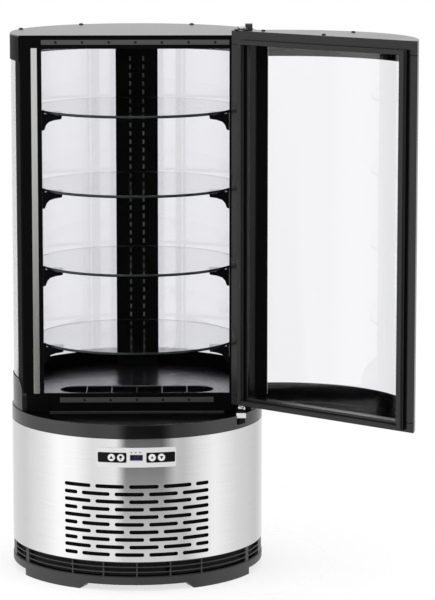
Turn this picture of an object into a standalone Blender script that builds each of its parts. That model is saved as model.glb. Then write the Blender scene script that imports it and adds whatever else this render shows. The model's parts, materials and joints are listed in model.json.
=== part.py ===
"""A round refrigerated cake display case with its curved front door swung open.

Metres, +Z up. The case is drawn about its own upright axis with its front towards -Y,
and angles round it are in degrees from the front towards +X. An empty then moves the
whole case so that the origin lies under the middle of its box, door open.
"""

import math

import bmesh
import bpy
from mathutils import Matrix, Vector

# Clearances
GAP = 0.0003
SLIDE_GAP = 0.0005
CUT_OVER = 0.02

# Round body in plan, and the heights of its parts from the counter up
BODY_RADIUS = 0.225
CABINET_SETBACK = 0.0025
RING_BOTTOM = 0.011
RING_HEIGHT = 0.0145
LOUVRE_HEIGHT = 0.0268
WRAP_HEIGHT = 0.2184
RIM_HEIGHT = 0.0243
RIM_LIP = 0.003
RIM_WIDTH = 0.0045
CABINET_HEIGHT = 0.665
ARC_STEP = 6.0
TURN_STEPS = round(360.0 / ARC_STEP)
ARC_SHIFT = 90.0 % ARC_STEP
BEYOND = 2.0 * BODY_RADIUS
CABINET_RADIUS = BODY_RADIUS - CABINET_SETBACK
LOUVRE_BOTTOM = RING_BOTTOM + RING_HEIGHT
WRAP_BOTTOM = LOUVRE_BOTTOM + LOUVRE_HEIGHT
WRAP_TOP = WRAP_BOTTOM + WRAP_HEIGHT
RIM_TOP = WRAP_TOP + RIM_HEIGHT
DECK_TOP = RIM_TOP - RIM_LIP
CANOPY_TOP = RIM_TOP + CABINET_HEIGHT

# Plinth
PLINTH_WALL = 0.0045
PLINTH_LEDGE = 0.012
PLINTH_LEDGE_THICK = 0.002
PLINTH_SPIGOT = 0.007
LOUVRE_SETBACK = 0.0012
LOUVRE_SILL = 0.001
LOUVRE_HEAD = 0.0018
FOOT_DEPTH = 0.026
FOOT_START = 26.5
FOOT_END = 62.5
FOOT_SLOPE_END = 23.0
FOOT_SLOPE_SINK = 0.0014
FOOT_INSET = 0.0004
FOOT_TOP = 0.0026
RIB_PITCH = 15.2
RIB_WIDTH = 0.0024
WIDE_RIB_WIDTH = 0.0105
FRONT_RIBS = (-5, -4, -2, -1, 0, 1, 2, 4, 5)
REAR_RIBS = (-2, -1, 0, 1, 2)
WIDE_RIBS = (-4, 4)
LOUVRE_ROWS = 3
LOUVRE_RIB = 0.0021
LOUVRE_RADIUS = BODY_RADIUS - LOUVRE_SETBACK

# Control panel
PANEL_HALF_LENGTH = 0.070
PANEL_HEIGHT = 0.0343
PANEL_DROP = 0.0151
PANEL_THICK = 0.0012
CONTROL_DROP = 0.0171
BUTTON_RADIUS = 0.0063
INNER_BUTTON = 0.0273
OUTER_BUTTON = 0.0437
BUTTON_PROUD = 0.0014
BUTTON_LENGTH = 0.007
BUTTON_EDGE = 0.0006
DISPLAY_WIDTH = 0.0215
DISPLAY_HEIGHT = 0.0095
DISPLAY_PROUD = 0.0004
BOARD_HALF_WIDTH = 0.062
BOARD_HEIGHT = 0.026
BOARD_DEPTH = 0.016
BOARD_CLEARANCE = 0.0012
BOARD_LAP = 0.004
EAR_WIDTH = 0.008
EAR_THICK = 0.003
PANEL_RADIUS = BODY_RADIUS + GAP + PANEL_THICK
PANEL_HALF_ANGLE = math.degrees(PANEL_HALF_LENGTH / PANEL_RADIUS)
PANEL_HIGH = WRAP_TOP - PANEL_DROP
PANEL_LOW = PANEL_HIGH - PANEL_HEIGHT
CONTROL_HEIGHT = PANEL_HIGH - CONTROL_DROP

# Slotted steel wrap
WRAP_WALL = 0.0012
SLOT_LENGTH = 0.0515
HALF_SLOT_LENGTH = 0.026
SLOT_HEIGHT = 0.0067
SLOT_GAP = 0.0087
SLOT_ROW_PITCH = 0.01347
SLOTS_IN_ROW = 4
SLOTS_DROP = 0.035
PLAIN_FOOT = 0.012
WRAP_INSIDE = BODY_RADIUS - WRAP_WALL
SLOT_TOP_ROW = PANEL_LOW - SLOTS_DROP
SLOT_ROWS = 1 + int((SLOT_TOP_ROW - WRAP_BOTTOM - PLAIN_FOOT) / SLOT_ROW_PITCH)
BOARD_FRONT_Y = BOARD_CLEARANCE - math.sqrt(WRAP_INSIDE ** 2 - BOARD_HALF_WIDTH ** 2)

# Base cover
COVER_SPIGOT = 0.009
COVER_WALL = 0.003

# Collar, glazing and canopy
COLLAR_HEIGHT = 0.056
COLLAR_LIP = 0.013
COLLAR_WALL = 0.0075
COLLAR_CORNER_LENGTH = 0.022
COLLAR_CORNER_HEIGHT = 0.032
COLLAR_CORNER_STEPS = 6
SHEET_WALL = 0.0012
PANE_OUTER = 0.004
PANE_INNER = 0.003
PANE_SPACE = 0.0048
PANE_EDGE = 0.006
PANE_JOINT = 0.4
CANOPY_SKIRT = 0.0455
CANOPY_PLATE = 0.003
CANOPY_EDGE = 0.001
COLLAR_TOP = RIM_TOP + COLLAR_HEIGHT
COLLAR_LEDGE = COLLAR_TOP - COLLAR_LIP
COLLAR_INSIDE = CABINET_RADIUS - COLLAR_WALL
PANE_RADIUS = CABINET_RADIUS - SHEET_WALL - GAP
PANE_INSIDE = PANE_RADIUS - PANE_OUTER - PANE_SPACE - PANE_INNER
CANOPY_BOTTOM = CANOPY_TOP - CANOPY_SKIRT
UNDER_CANOPY = CANOPY_TOP - CANOPY_PLATE - GAP

# Front frame
FRAME_SETBACK = 0.1335
POST_WIDTH = 0.0388
POST_DEPTH = 0.0218
POST_BACK_RISE = 0.0045
POST_BACK_SLOPE = 0.011
BACK_CUT_STEP = 0.0006
SILL_BLOCK_REACH = 0.009
SILL_SETBACK = 0.003
SILL_DEPTH = 0.0085
SILL_RISE = 0.0012
HEADER_HEIGHT = 0.0202
HEADER_DEPTH = 0.012
HEADER_TUCK = 0.004
HEADER_STEP = 0.0003
STRIP_THICK = 0.0008
STRIP_SETBACK = 0.0075
STRIP_WIDTH = 0.0105
SIDE_STRIP_RISE = 0.0015
TOP_STRIP_DROP = 0.0045
TOP_STRIP_HEIGHT = 0.0086
BOTTOM_STRIP_INSET = 0.028
BOTTOM_STRIP_DROP = 0.0068
BOTTOM_STRIP_HEIGHT = 0.009
FLOOR_RAISE = 0.030
FLOOR_TOP = RIM_TOP + FLOOR_RAISE
FRAME_FRONT_Y = FRAME_SETBACK - BODY_RADIUS
BACK_CUT_Y = FRAME_FRONT_Y + BACK_CUT_STEP
FRAME_OPENING_HALF = math.sqrt(CABINET_RADIUS ** 2 - FRAME_FRONT_Y ** 2) - POST_WIDTH
POST_REAR_Y = FRAME_FRONT_Y + POST_DEPTH
SILL_BLOCK_INNER = FRAME_OPENING_HALF - SILL_BLOCK_REACH
SILL_REAR_Y = FRAME_FRONT_Y + SILL_DEPTH
SILL_TOP = FLOOR_TOP + SILL_RISE
HEADER_BOTTOM = UNDER_CANOPY - HEADER_HEIGHT
STRIP_INNER = FRAME_OPENING_HALF + STRIP_SETBACK
STRIP_OUTER = STRIP_INNER + STRIP_WIDTH
STRIP_SIDE_TOP = HEADER_BOTTOM + SIDE_STRIP_RISE
TOP_STRIP_HIGH = UNDER_CANOPY - TOP_STRIP_DROP
TOP_STRIP_LOW = TOP_STRIP_HIGH - TOP_STRIP_HEIGHT
BOTTOM_STRIP_HALF = FRAME_OPENING_HALF - BOTTOM_STRIP_INSET
BOTTOM_STRIP_HIGH = SILL_TOP - BOTTOM_STRIP_DROP
BOTTOM_STRIP_LOW = BOTTOM_STRIP_HIGH - BOTTOM_STRIP_HEIGHT

# Shelves, whose front hooks set how large the glass can be
SHELF_COUNT = 4
SHELF_THICK = 0.005
SHELF_EDGE_GAP = 0.0007
FIRST_SHELF_RISE = 0.0899
SHELF_PITCH = 0.1377
SLOTS_PER_SHELF = 9
ARM_SETBACK = 0.0012
ARM_REACH = 0.035
ARM_THICK = 0.0055
ARM_TIP = 0.009
ARM_DROP = 0.0292
HOOK_RISE = 0.0014
HOOK_THICK = 0.0042
REAR_ARM_HALF = 0.016
REAR_ARM_REACH = 0.034
REAR_ARM_THICK = 0.006
REAR_ARM_DROP = 0.026
REAR_PLATE = 0.0022
PRONG_LENGTH = 0.0035
PRONG_DROP = 0.017
POST_SHELF_CLEARANCE = 0.0035
SHELF_LOWEST = FLOOR_TOP + FIRST_SHELF_RISE
ARM_FRONT_Y = FRAME_FRONT_Y + ARM_SETBACK
HOOK_INNER = FRAME_OPENING_HALF - GAP - HOOK_THICK
SHELF_RADIUS = math.hypot(HOOK_INNER - SHELF_EDGE_GAP, ARM_FRONT_Y + ARM_THICK)
POST_SHELF_RADIUS = SHELF_RADIUS + POST_SHELF_CLEARANCE

# Rear air column
COLUMN_HALF_WIDTH = 0.0385
COLUMN_CLEARANCE = 0.0011
COLUMN_WALL = 0.0016
COLUMN_SHELF_CLEARANCE = 0.004
COLUMN_SLOT_X = 0.012
COLUMN_SLOT_WIDTH = 0.0034
COLUMN_SLOT_HEIGHT = 0.0085
SLOTS_UNDER_SHELVES = 3
COLUMN_TOP_PLAIN = 0.050
COLUMN_FRONT_Y = SHELF_RADIUS + COLUMN_SHELF_CLEARANCE
COLUMN_REAR_Y = math.sqrt((PANE_INSIDE - COLUMN_CLEARANCE) ** 2 - COLUMN_HALF_WIDTH ** 2)

# Cold floor and evaporator tub
FLOOR_THICK = 0.0022
FLOOR_CLEARANCE = 0.001
VENT_HALF_WIDTH = 0.137
VENT_SETBACK = 0.0062
VENT_DEPTH = 0.0665
VENT_RIB_PITCH = 0.0446
VENT_RIBS = 5
VENT_RIB_WIDTH = 0.0016
DUCT_INSET = 0.004
DUCT_SETBACK = 0.003
DUCT_DEPTH = 0.006
TUB_CLEARANCE = 0.0145
TUB_DEPTH = 0.084
TUB_WALL = 0.004
TUB_FLANGE = 0.005
TUB_FLANGE_THICK = 0.003
COIL_HALF_WIDTH = 0.12
COIL_CLEARANCE = 0.0185
COIL_DEPTH = 0.080
COIL_HEIGHT = 0.085
COLD_FAN_RADIUS = 0.036
COLD_FAN_DEPTH = 0.014
COLD_FAN_SPACE = 0.007
COLD_MOTOR_RADIUS = 0.018
COLD_MOTOR_LENGTH = 0.036
FLOOR_RADIUS = COLLAR_INSIDE - FLOOR_CLEARANCE
FLOOR_FRONT_Y = SILL_REAR_Y + GAP
VENT_FRONT_Y = FLOOR_FRONT_Y + VENT_SETBACK
VENT_REAR_Y = VENT_FRONT_Y + VENT_DEPTH
TUB_RADIUS = COLLAR_INSIDE - TUB_CLEARANCE
TUB_FRONT_Y = SILL_REAR_Y + SLIDE_GAP
TUB_TOP = FLOOR_TOP - FLOOR_THICK - GAP
TUB_BOTTOM = DECK_TOP - TUB_DEPTH
TUB_FLOOR = TUB_BOTTOM + 1.5 * TUB_WALL
COIL_FRONT_Y = TUB_FRONT_Y + TUB_WALL + COIL_CLEARANCE
COIL_REAR_Y = COIL_FRONT_Y + COIL_DEPTH
COLD_FAN_Y = COIL_REAR_Y + COLD_FAN_SPACE + COLD_FAN_DEPTH / 2

# Light bars
LED_WIDTH = 0.011
LED_DEPTH = 0.007
LED_SETBACK = 0.0162
LED_RISE = 0.020
LED_DROP = 0.0317
LED_X = FRAME_OPENING_HALF + LED_SETBACK
LED_LOW = FLOOR_TOP + LED_RISE
LED_HIGH = UNDER_CANOPY - LED_DROP

# Door, drawn closed
DOOR_OPEN_ANGLE = 139.0
SEAL_SPACE = 0.012
SEAL_REST = 0.0008
DOOR_CLEARANCE = 0.014
DOOR_RISE = 0.0095
FOOT_SKIRT = 0.037
HEAD_SKIRT = 0.0455
FOOT_RAIL = 0.0165
HEAD_RAIL = 0.024
RAIL_DEPTH = 0.018
RAIL_STEP = 0.0002
CAP_PLATE = 0.003
STILE_WIDTH = 0.036
STILE_FLANGE = 0.0045
STILE_CAP_GAP = 0.1
DOOR_SKIN = 0.0035
DOOR_PANE = 0.004
DOOR_PANE_TUCK = 5.5
PANE_NOTCH = 0.0015
GASKET_SETBACK = 0.0105
GASKET_WIDTH = 0.008
GASKET_FOOT = 0.0025
GASKET_HEAD = 0.0155
DOOR_FACE_Y = FRAME_FRONT_Y - SEAL_SPACE
DOOR_BOTTOM = RIM_TOP + DOOR_CLEARANCE
DOOR_TOP = CANOPY_TOP + DOOR_RISE
RAIL_LOW = DOOR_BOTTOM + FOOT_RAIL
RAIL_HIGH = DOOR_TOP - HEAD_RAIL
RAIL_REAR_Y = DOOR_FACE_Y - RAIL_DEPTH
DOOR_HALF = math.sqrt(BODY_RADIUS ** 2 - DOOR_FACE_Y ** 2)
STILE_INNER = DOOR_HALF - STILE_WIDTH
STILE_ANGLE = math.degrees(math.asin(STILE_INNER / BODY_RADIUS))
DOOR_PANE_RADIUS = BODY_RADIUS - DOOR_SKIN - GAP
GASKET_X = FRAME_OPENING_HALF + GASKET_SETBACK
GASKET_PROUD = SEAL_SPACE - 2 * GAP - STRIP_THICK - SEAL_REST

# Hinges
PIN_REACH = 0.020
PIN_SETBACK = 0.0081
PIN_RADIUS = 0.0052
PIN_ENTRY = 0.0105
PIN_HEAD_RADIUS = 0.008
PIN_HEAD_GAP = 0.0035
PIN_SINK = 0.001
LOWER_PLATE_THICK = 0.004
LOWER_PLATE_HALF = 0.010
LOWER_PLATE_REAR = 0.0025
LOWER_LIP_DROP = 0.021
LOWER_LIP_THICK = 0.002
LOWER_LIP_STEP = 0.0006
LOWER_LIP_MEET = 0.0012
UPPER_PLATE_THICK = 0.0025
UPPER_PLATE_HALF = 0.0115
UPPER_PLATE_LENGTH = 0.0415
UPPER_RISER_STEP = 0.0005
UPPER_TONGUE_LIFT = 0.0010
UPPER_HEAD_THICK = 0.0037
UPPER_BLOCK_WIDTH = 0.0125
UPPER_BLOCK_DEPTH = 0.022
UPPER_BLOCK_RISE = 0.010
UPPER_BLOCK_LAP = 0.004
PIN_X = FRAME_OPENING_HALF + PIN_REACH
PIN_Y = DOOR_FACE_Y - PIN_SETBACK
HINGE = Vector((PIN_X, PIN_Y, 0.0))
UPPER_PLATE_REAR_Y = FRAME_FRONT_Y + UPPER_PLATE_LENGTH

# Machinery in the base
PAN_THICK = 0.0015
CONDENSER_HALF_WIDTH = 0.095
CONDENSER_SETBACK = 0.042
CONDENSER_DEPTH = 0.034
CONDENSER_HEIGHT = 0.150
COIL_FINS = 13
FIN_GROOVE = 0.004
FIN_GROOVE_DEPTH = 0.006
SHROUD_RIM = 0.022
SHROUD_THICK = 0.008
HOT_FAN_RADIUS = 0.059
HOT_FAN_DEPTH = 0.020
HOT_FAN_SPACE = 0.001
HOT_FAN_CLEARANCE = 0.004
HOT_MOTOR_RADIUS = 0.022
HOT_MOTOR_LENGTH = 0.045
MOTOR_FOOT_THICK = 0.0025
FAN_BLADES = 5
HUB_SHARE = 0.32
BLADE_THICK = 0.0016
BLADE_PITCH = 32.0
SHAFT_RADIUS = 0.003
SHAFT_LENGTH = 0.008
COMPRESSOR_RADIUS = 0.062
COMPRESSOR_HEIGHT = 0.128
COMPRESSOR_SETBACK = 0.167
COMPRESSOR_DOME = 0.022
COMPRESSOR_SKIRT = 0.016
COMPRESSOR_FOOT = 0.006
PAN_TOP = RING_BOTTOM + FOOT_TOP + GAP + PAN_THICK
MACHINE_FLOOR = PAN_TOP + GAP
CONDENSER_FRONT_Y = CONDENSER_SETBACK - BODY_RADIUS
SHROUD_HOLE_RADIUS = HOT_FAN_RADIUS + HOT_FAN_CLEARANCE
HOT_FAN_HEIGHT = MACHINE_FLOOR + CONDENSER_HEIGHT / 2
COMPRESSOR_Y = BODY_RADIUS - COMPRESSOR_SETBACK


def new_material(name, colour, roughness, metallic=0.0, alpha=1.0):
    material = bpy.data.materials.new(name)
    material.use_nodes = True
    shader = material.node_tree.nodes["Principled BSDF"]
    shader.inputs["Base Color"].default_value = (*colour, 1.0)
    shader.inputs["Roughness"].default_value = roughness
    shader.inputs["Metallic"].default_value = metallic
    shader.inputs["Alpha"].default_value = alpha
    return material


def clear_scene():
    for obj in list(bpy.data.objects):
        bpy.data.objects.remove(obj, do_unlink=True)


# Outlines, as lists of (x, y)

def on_arc(radius, angle):
    turn = math.radians(angle)
    return (radius * math.sin(turn), -radius * math.cos(turn))


def angle_at(radius, y):
    """The angle on +X's side at which a circle of this radius crosses this y."""
    return math.degrees(math.acos(-y / radius))


def arc_angles(low, high):
    """Both ends of an arc, and between them the same angles as on every other turned surface."""
    angles = [low]
    step = math.ceil((low - ARC_SHIFT) / ARC_STEP + 0.05)
    while ARC_SHIFT + step * ARC_STEP < high - 0.05 * ARC_STEP:
        angles.append(ARC_SHIFT + step * ARC_STEP)
        step += 1
    angles.append(high)
    return angles


def sweep(radius, start, end):
    """Points along an arc, in the order in which it is asked for."""
    angles = arc_angles(min(start, end), max(start, end))
    if end < start:
        angles.reverse()
    return [on_arc(radius, angle) for angle in angles]


def d_outline(radius, chord_y):
    """A disc with its front cut off along a straight line."""
    start = angle_at(radius, chord_y)
    return sweep(radius, start, 360.0 - start)


def segment_outline(radius, chord_y):
    """What that cut takes off: a straight chord with the front arc bulging from it."""
    end = angle_at(radius, chord_y)
    return sweep(radius, -end, end)


def band_outline(inner, outer, start, end):
    return sweep(outer, start, end) + sweep(inner, end, start)


def rectangle(x_low, x_high, y_low, y_high):
    return [(x_low, y_low), (x_high, y_low), (x_high, y_high), (x_low, y_high)]


def circle(radius, x=0.0, y=0.0, sides=24):
    turns = [2 * math.pi * side / sides for side in range(sides)]
    return [(x + radius * math.cos(turn), y + radius * math.sin(turn)) for turn in turns]


def stadium(length, height, sides=3):
    """A slot with round ends, centred on the origin and long in x."""
    radius = height / 2
    centre = length / 2 - radius
    turns = [math.pi * (side / sides - 0.5) for side in range(sides + 1)]
    right = [(centre + radius * math.cos(turn), radius * math.sin(turn)) for turn in turns]
    return right + [(-x, -y) for x, y in right]


def mirrored(points):
    return [(-x, y) for x, y in reversed(points)]


# Solids

def add_object(name, mesh, collection, parent=None, material=None):
    obj = bpy.data.objects.new(name, mesh)
    collection.objects.link(obj)
    obj.parent = parent
    if material:
        mesh.materials.append(material)
    return obj


def extruded(name, loops, low, high):
    """A mesh of flat outlines drawn from low to high in z. A loop inside another is a hole."""
    curve = bpy.data.curves.new(name, "CURVE")
    curve.dimensions = "2D"
    curve.fill_mode = "BOTH"
    curve.extrude = (high - low) / 2
    for loop in loops:
        spline = curve.splines.new("POLY")
        spline.points.add(len(loop) - 1)
        spline.use_cyclic_u = True
        for point, (x, y) in zip(spline.points, loop):
            point.co = (x, y, 0.0, 1.0)
    holder = bpy.data.objects.new(name, curve)
    bpy.context.scene.collection.objects.link(holder)
    graph = bpy.context.evaluated_depsgraph_get()
    mesh = bpy.data.meshes.new_from_object(holder.evaluated_get(graph))
    bpy.data.objects.remove(holder, do_unlink=True)
    bpy.data.curves.remove(curve)
    mesh.name = name
    shape = bmesh.new()
    shape.from_mesh(mesh)
    bmesh.ops.remove_doubles(shape, verts=shape.verts, dist=0.000005)
    bmesh.ops.dissolve_limit(shape, angle_limit=0.0001, verts=shape.verts, edges=shape.edges)
    bmesh.ops.translate(shape, verts=shape.verts, vec=(0.0, 0.0, (low + high) / 2))
    bmesh.ops.recalc_face_normals(shape, faces=shape.faces)
    shape.to_mesh(mesh)
    shape.free()
    return mesh


def profile_mesh(name, profile, closed):
    """A mesh of edges alone, holding a profile of (radius, z) for a Screw to turn."""
    mesh = bpy.data.meshes.new(name)
    shape = bmesh.new()
    points = [shape.verts.new((radius, 0.0, z)) for radius, z in profile]
    for first, second in zip(points, points[1:]):
        shape.edges.new((first, second))
    if closed:
        shape.edges.new((points[-1], points[0]))
    shape.to_mesh(mesh)
    shape.free()
    return mesh


def add_turned(name, profile, closed, collection, parent=None, material=None, steps=TURN_STEPS):
    obj = add_object(name, profile_mesh(name, profile, closed), collection, parent, material)
    screw = obj.modifiers.new("turn", "SCREW")
    screw.steps = steps
    screw.render_steps = steps
    screw.use_merge_vertices = True
    screw.merge_threshold = 0.00001
    screw.use_smooth_shade = True
    return obj


def box_mesh(name, x_low, x_high, y_low, y_high, z_low, z_high):
    mesh = bpy.data.meshes.new(name)
    shape = bmesh.new()
    bmesh.ops.create_cube(shape, size=1.0)
    bmesh.ops.scale(shape, verts=shape.verts, vec=(x_high - x_low, y_high - y_low, z_high - z_low))
    middle = ((x_low + x_high) / 2, (y_low + y_high) / 2, (z_low + z_high) / 2)
    bmesh.ops.translate(shape, verts=shape.verts, vec=middle)
    shape.to_mesh(mesh)
    shape.free()
    return mesh


def rod_mesh(name, radius, low, high, sides=24):
    """A round bar along z from low to high."""
    mesh = bpy.data.meshes.new(name)
    shape = bmesh.new()
    bmesh.ops.create_cone(
        shape, cap_ends=True, segments=sides, radius1=radius, radius2=radius, depth=high - low
    )
    bmesh.ops.translate(shape, verts=shape.verts, vec=(0.0, 0.0, (low + high) / 2))
    shape.to_mesh(mesh)
    shape.free()
    return mesh


def joined(name, stamps):
    """One mesh holding each (mesh, matrix) in its place."""
    total = bpy.data.meshes.new(name)
    shape = bmesh.new()
    for mesh, matrix in stamps:
        before = set(shape.verts)
        shape.from_mesh(mesh)
        fresh = [vert for vert in shape.verts if vert not in before]
        bmesh.ops.transform(shape, matrix=matrix, verts=fresh)
    shape.to_mesh(total)
    shape.free()
    return total


def outward(angle, height, radius=0.0):
    """The matrix that stands a flat outline upright, facing out at this angle round the case."""
    turn = Matrix.Rotation(math.radians(angle), 4, "Z")
    stand = Matrix.Rotation(math.radians(90.0), 4, "X")
    x, y = on_arc(radius, angle)
    return Matrix.Translation((x, y, height)) @ turn @ stand


def boolean(obj, other, operation, label):
    modifier = obj.modifiers.new(label, "BOOLEAN")
    modifier.operation = operation
    modifier.solver = "EXACT"
    modifier.object = other


class Builder:
    """The collections, the materials and the empties that the pieces hang from."""

    def __init__(self):
        scene = bpy.context.scene
        self.parts = bpy.data.collections.new("cake_display_case")
        self.cutters = bpy.data.collections.new("cutters")
        scene.collection.children.link(self.parts)
        scene.collection.children.link(self.cutters)
        low, high = footprint()
        self.frame = self.empty("case_frame", None, (-(low.x + high.x) / 2, -(low.y + high.y) / 2, 0.0))
        self.hinge = self.empty("door_hinge", self.frame, HINGE)
        self.hinge.rotation_euler = (0.0, 0.0, math.radians(DOOR_OPEN_ANGLE))
        self.materials = {
            "black_plastic": new_material("black_plastic", (0.012, 0.012, 0.013), 0.35),
            "dark_moulding": new_material("dark_moulding", (0.035, 0.035, 0.038), 0.45),
            "black_enamel": new_material("black_enamel", (0.010, 0.010, 0.011), 0.18),
            "brushed_steel": new_material("brushed_steel", (0.66, 0.66, 0.66), 0.30, 1.0),
            "steel_strip": new_material("steel_strip", (0.45, 0.45, 0.45), 0.40, 1.0),
            "floor_steel": new_material("floor_steel", (0.36, 0.36, 0.37), 0.25, 1.0),
            "clear_glass": new_material("clear_glass", (0.90, 0.96, 0.94), 0.03, 0.0, 0.25),
            "gasket_rubber": new_material("gasket_rubber", (0.05, 0.05, 0.05), 0.60),
            "panel_foil": new_material("panel_foil", (0.55, 0.55, 0.56), 0.40),
            "display_window": new_material("display_window", (0.02, 0.015, 0.06), 0.10),
            "button_white": new_material("button_white", (0.80, 0.80, 0.80), 0.45),
            "lamp_diffuser": new_material("lamp_diffuser", (0.85, 0.85, 0.82), 0.50),
            "chrome": new_material("chrome", (0.75, 0.75, 0.76), 0.12, 1.0),
            "coil_aluminium": new_material("coil_aluminium", (0.60, 0.60, 0.61), 0.45, 1.0),
            "zinc_sheet": new_material("zinc_sheet", (0.42, 0.43, 0.44), 0.50, 1.0),
            "compressor_black": new_material("compressor_black", (0.02, 0.02, 0.02), 0.50),
            "white_tub": new_material("white_tub", (0.70, 0.71, 0.72), 0.50),
        }

    def empty(self, name, parent, location):
        obj = bpy.data.objects.new(name, None)
        self.parts.objects.link(obj)
        obj.parent = parent
        obj.location = location
        return obj

    def node(self, name, mesh, material, parent=None, location=(0.0, 0.0, 0.0)):
        obj = add_object(name, mesh, self.parts, parent or self.frame, self.materials[material])
        obj.location = location
        return obj

    def turned_node(self, name, profile, closed, material, location=(0.0, 0.0, 0.0), steps=TURN_STEPS):
        obj = add_turned(name, profile, closed, self.parts, self.frame, self.materials[material], steps)
        obj.location = location
        return obj

    def door_node(self, name, mesh, material):
        """A door piece, drawn closed about the case's axis and turned open about the hinge pin."""
        return self.node(name, mesh, material, self.hinge, -HINGE)

    def helper(self, name, mesh, parent):
        obj = add_object(name, mesh, self.cutters, parent)
        obj.hide_render = True
        obj.display_type = "WIRE"
        return obj

    def cut(self, obj, mesh, label):
        """Takes a mesh, drawn in the piece's own coordinates, away from the piece."""
        cutter = self.helper(f"{obj.name}_{label}", mesh, obj)
        boolean(obj, cutter, "DIFFERENCE", label)

    def cut_turned(self, obj, profile, label, spared):
        """Takes a turned ring away from the piece, all but what the spared mesh holds of it."""
        cutter = add_turned(f"{obj.name}_{label}", profile, True, self.cutters, obj)
        cutter.hide_render = True
        cutter.display_type = "WIRE"
        self.cut(cutter, spared, "spared")
        boolean(obj, cutter, "DIFFERENCE", label)

    def fuse(self, obj, mesh, label):
        other = self.helper(f"{obj.name}_{label}", mesh, obj)
        boolean(obj, other, "UNION", label)


def footprint():
    """The plan box of the case with its door open, from the body's circle and the door's arc."""
    end = angle_at(BODY_RADIUS, DOOR_FACE_Y)
    swing = Matrix.Rotation(math.radians(DOOR_OPEN_ANGLE), 3, "Z")
    points = [Vector((side * BODY_RADIUS, side * BODY_RADIUS, 0.0)) for side in (-1.0, 1.0)]
    for x, y in sweep(BODY_RADIUS, -end, end):
        points.append(HINGE + swing @ (Vector((x, y, 0.0)) - HINGE))
    low = Vector([min(point[axis] for point in points) for axis in range(3)])
    high = Vector([max(point[axis] for point in points) for axis in range(3)])
    return low, high


# Base

def foot_mesh(turn, side):
    """One moulded foot: a slice of ring standing on the floor, sloped up at the end nearest the front."""
    rise = (FOOT_START - FOOT_SLOPE_END) / RING_BOTTOM
    top = RING_BOTTOM + FOOT_TOP
    slope_top = RING_BOTTOM + FOOT_SLOPE_SINK
    stations = [(FOOT_START - rise * slope_top, slope_top)]
    stations += [(angle, 0.0) for angle in arc_angles(FOOT_START, FOOT_END)]
    mesh = bpy.data.meshes.new("foot")
    shape = bmesh.new()
    rings = []
    for angle, bottom in stations:
        ring = []
        for radius, z in (
            (BODY_RADIUS - FOOT_DEPTH, bottom),
            (BODY_RADIUS - FOOT_INSET, bottom),
            (BODY_RADIUS - FOOT_INSET, top),
            (BODY_RADIUS - FOOT_DEPTH, top),
        ):
            x, y = on_arc(radius, turn + side * angle)
            ring.append(shape.verts.new((x, y, z)))
        rings.append(ring)
    for near, far in zip(rings, rings[1:]):
        for corner in range(4):
            after = (corner + 1) % 4
            shape.faces.new((near[corner], near[after], far[after], far[corner]))
    shape.faces.new(rings[0])
    shape.faces.new(rings[-1])
    bmesh.ops.recalc_face_normals(shape, faces=shape.faces)
    shape.to_mesh(mesh)
    shape.free()
    return mesh


def bay_edges(ribs):
    """The angles at which each window starts and ends, between one rib and the next."""
    edges = []
    for left, right in zip(ribs, ribs[1:]):
        start = WIDE_RIB_WIDTH if left in WIDE_RIBS else RIB_WIDTH
        stop = WIDE_RIB_WIDTH if right in WIDE_RIBS else RIB_WIDTH
        start_angle = left * RIB_PITCH + math.degrees(start / 2 / LOUVRE_RADIUS)
        edges.append((start_angle, right * RIB_PITCH - math.degrees(stop / 2 / LOUVRE_RADIUS)))
    return edges


def louvre_windows():
    """Three rows of windows between the upright ribs, at the front and at the rear."""
    low = LOUVRE_BOTTOM
    high = WRAP_BOTTOM - LOUVRE_HEAD
    height = (high - low - (LOUVRE_ROWS - 1) * LOUVRE_RIB) / LOUVRE_ROWS
    stamps = []
    for middle, ribs in ((0.0, FRONT_RIBS), (180.0, REAR_RIBS)):
        for start, stop in bay_edges(ribs):
            half = LOUVRE_RADIUS * math.sin(math.radians(stop - start) / 2)
            window = box_mesh("window", -half, half, -CUT_OVER, CUT_OVER, -height / 2, height / 2)
            angle = middle + (start + stop) / 2
            x, y = on_arc(LOUVRE_RADIUS, angle)
            turn = Matrix.Rotation(math.radians(angle), 4, "Z")
            for row in range(LOUVRE_ROWS):
                z = low + height / 2 + row * (height + LOUVRE_RIB)
                stamps.append((window, Matrix.Translation((x, y, z)) @ turn))
    return joined("louvre_windows", stamps)


def make_plinth(build):
    wall = LOUVRE_RADIUS
    inner = wall - PLINTH_WALL
    spigot = WRAP_INSIDE - GAP
    shoulder = WRAP_BOTTOM - GAP
    ledge_top = RING_BOTTOM + PLINTH_LEDGE_THICK
    profile = [
        (spigot, shoulder + PLINTH_SPIGOT),
        (spigot, shoulder),
        (wall, shoulder),
        (wall, LOUVRE_BOTTOM - LOUVRE_SILL),
        (BODY_RADIUS, LOUVRE_BOTTOM - LOUVRE_SILL - LOUVRE_SETBACK),
        (BODY_RADIUS, RING_BOTTOM),
        (inner - PLINTH_LEDGE, RING_BOTTOM),
        (inner - PLINTH_LEDGE, ledge_top),
        (inner, ledge_top),
        (inner, shoulder + PLINTH_SPIGOT),
    ]
    plinth = build.turned_node("plinth", profile, True, "dark_moulding")
    build.cut(plinth, louvre_windows(), "louvres")
    feet = [(foot_mesh(turn, side), Matrix()) for turn in (0.0, 180.0) for side in (-1.0, 1.0)]
    build.fuse(plinth, joined("feet", feet), "feet")


def make_base_pan(build):
    disc = sweep(LOUVRE_RADIUS - PLINTH_WALL - SLIDE_GAP, 0.0, 360.0 - ARC_STEP)
    build.node("base_pan", extruded("base_pan", [disc], PAN_TOP - PAN_THICK, PAN_TOP), "zinc_sheet")


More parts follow.
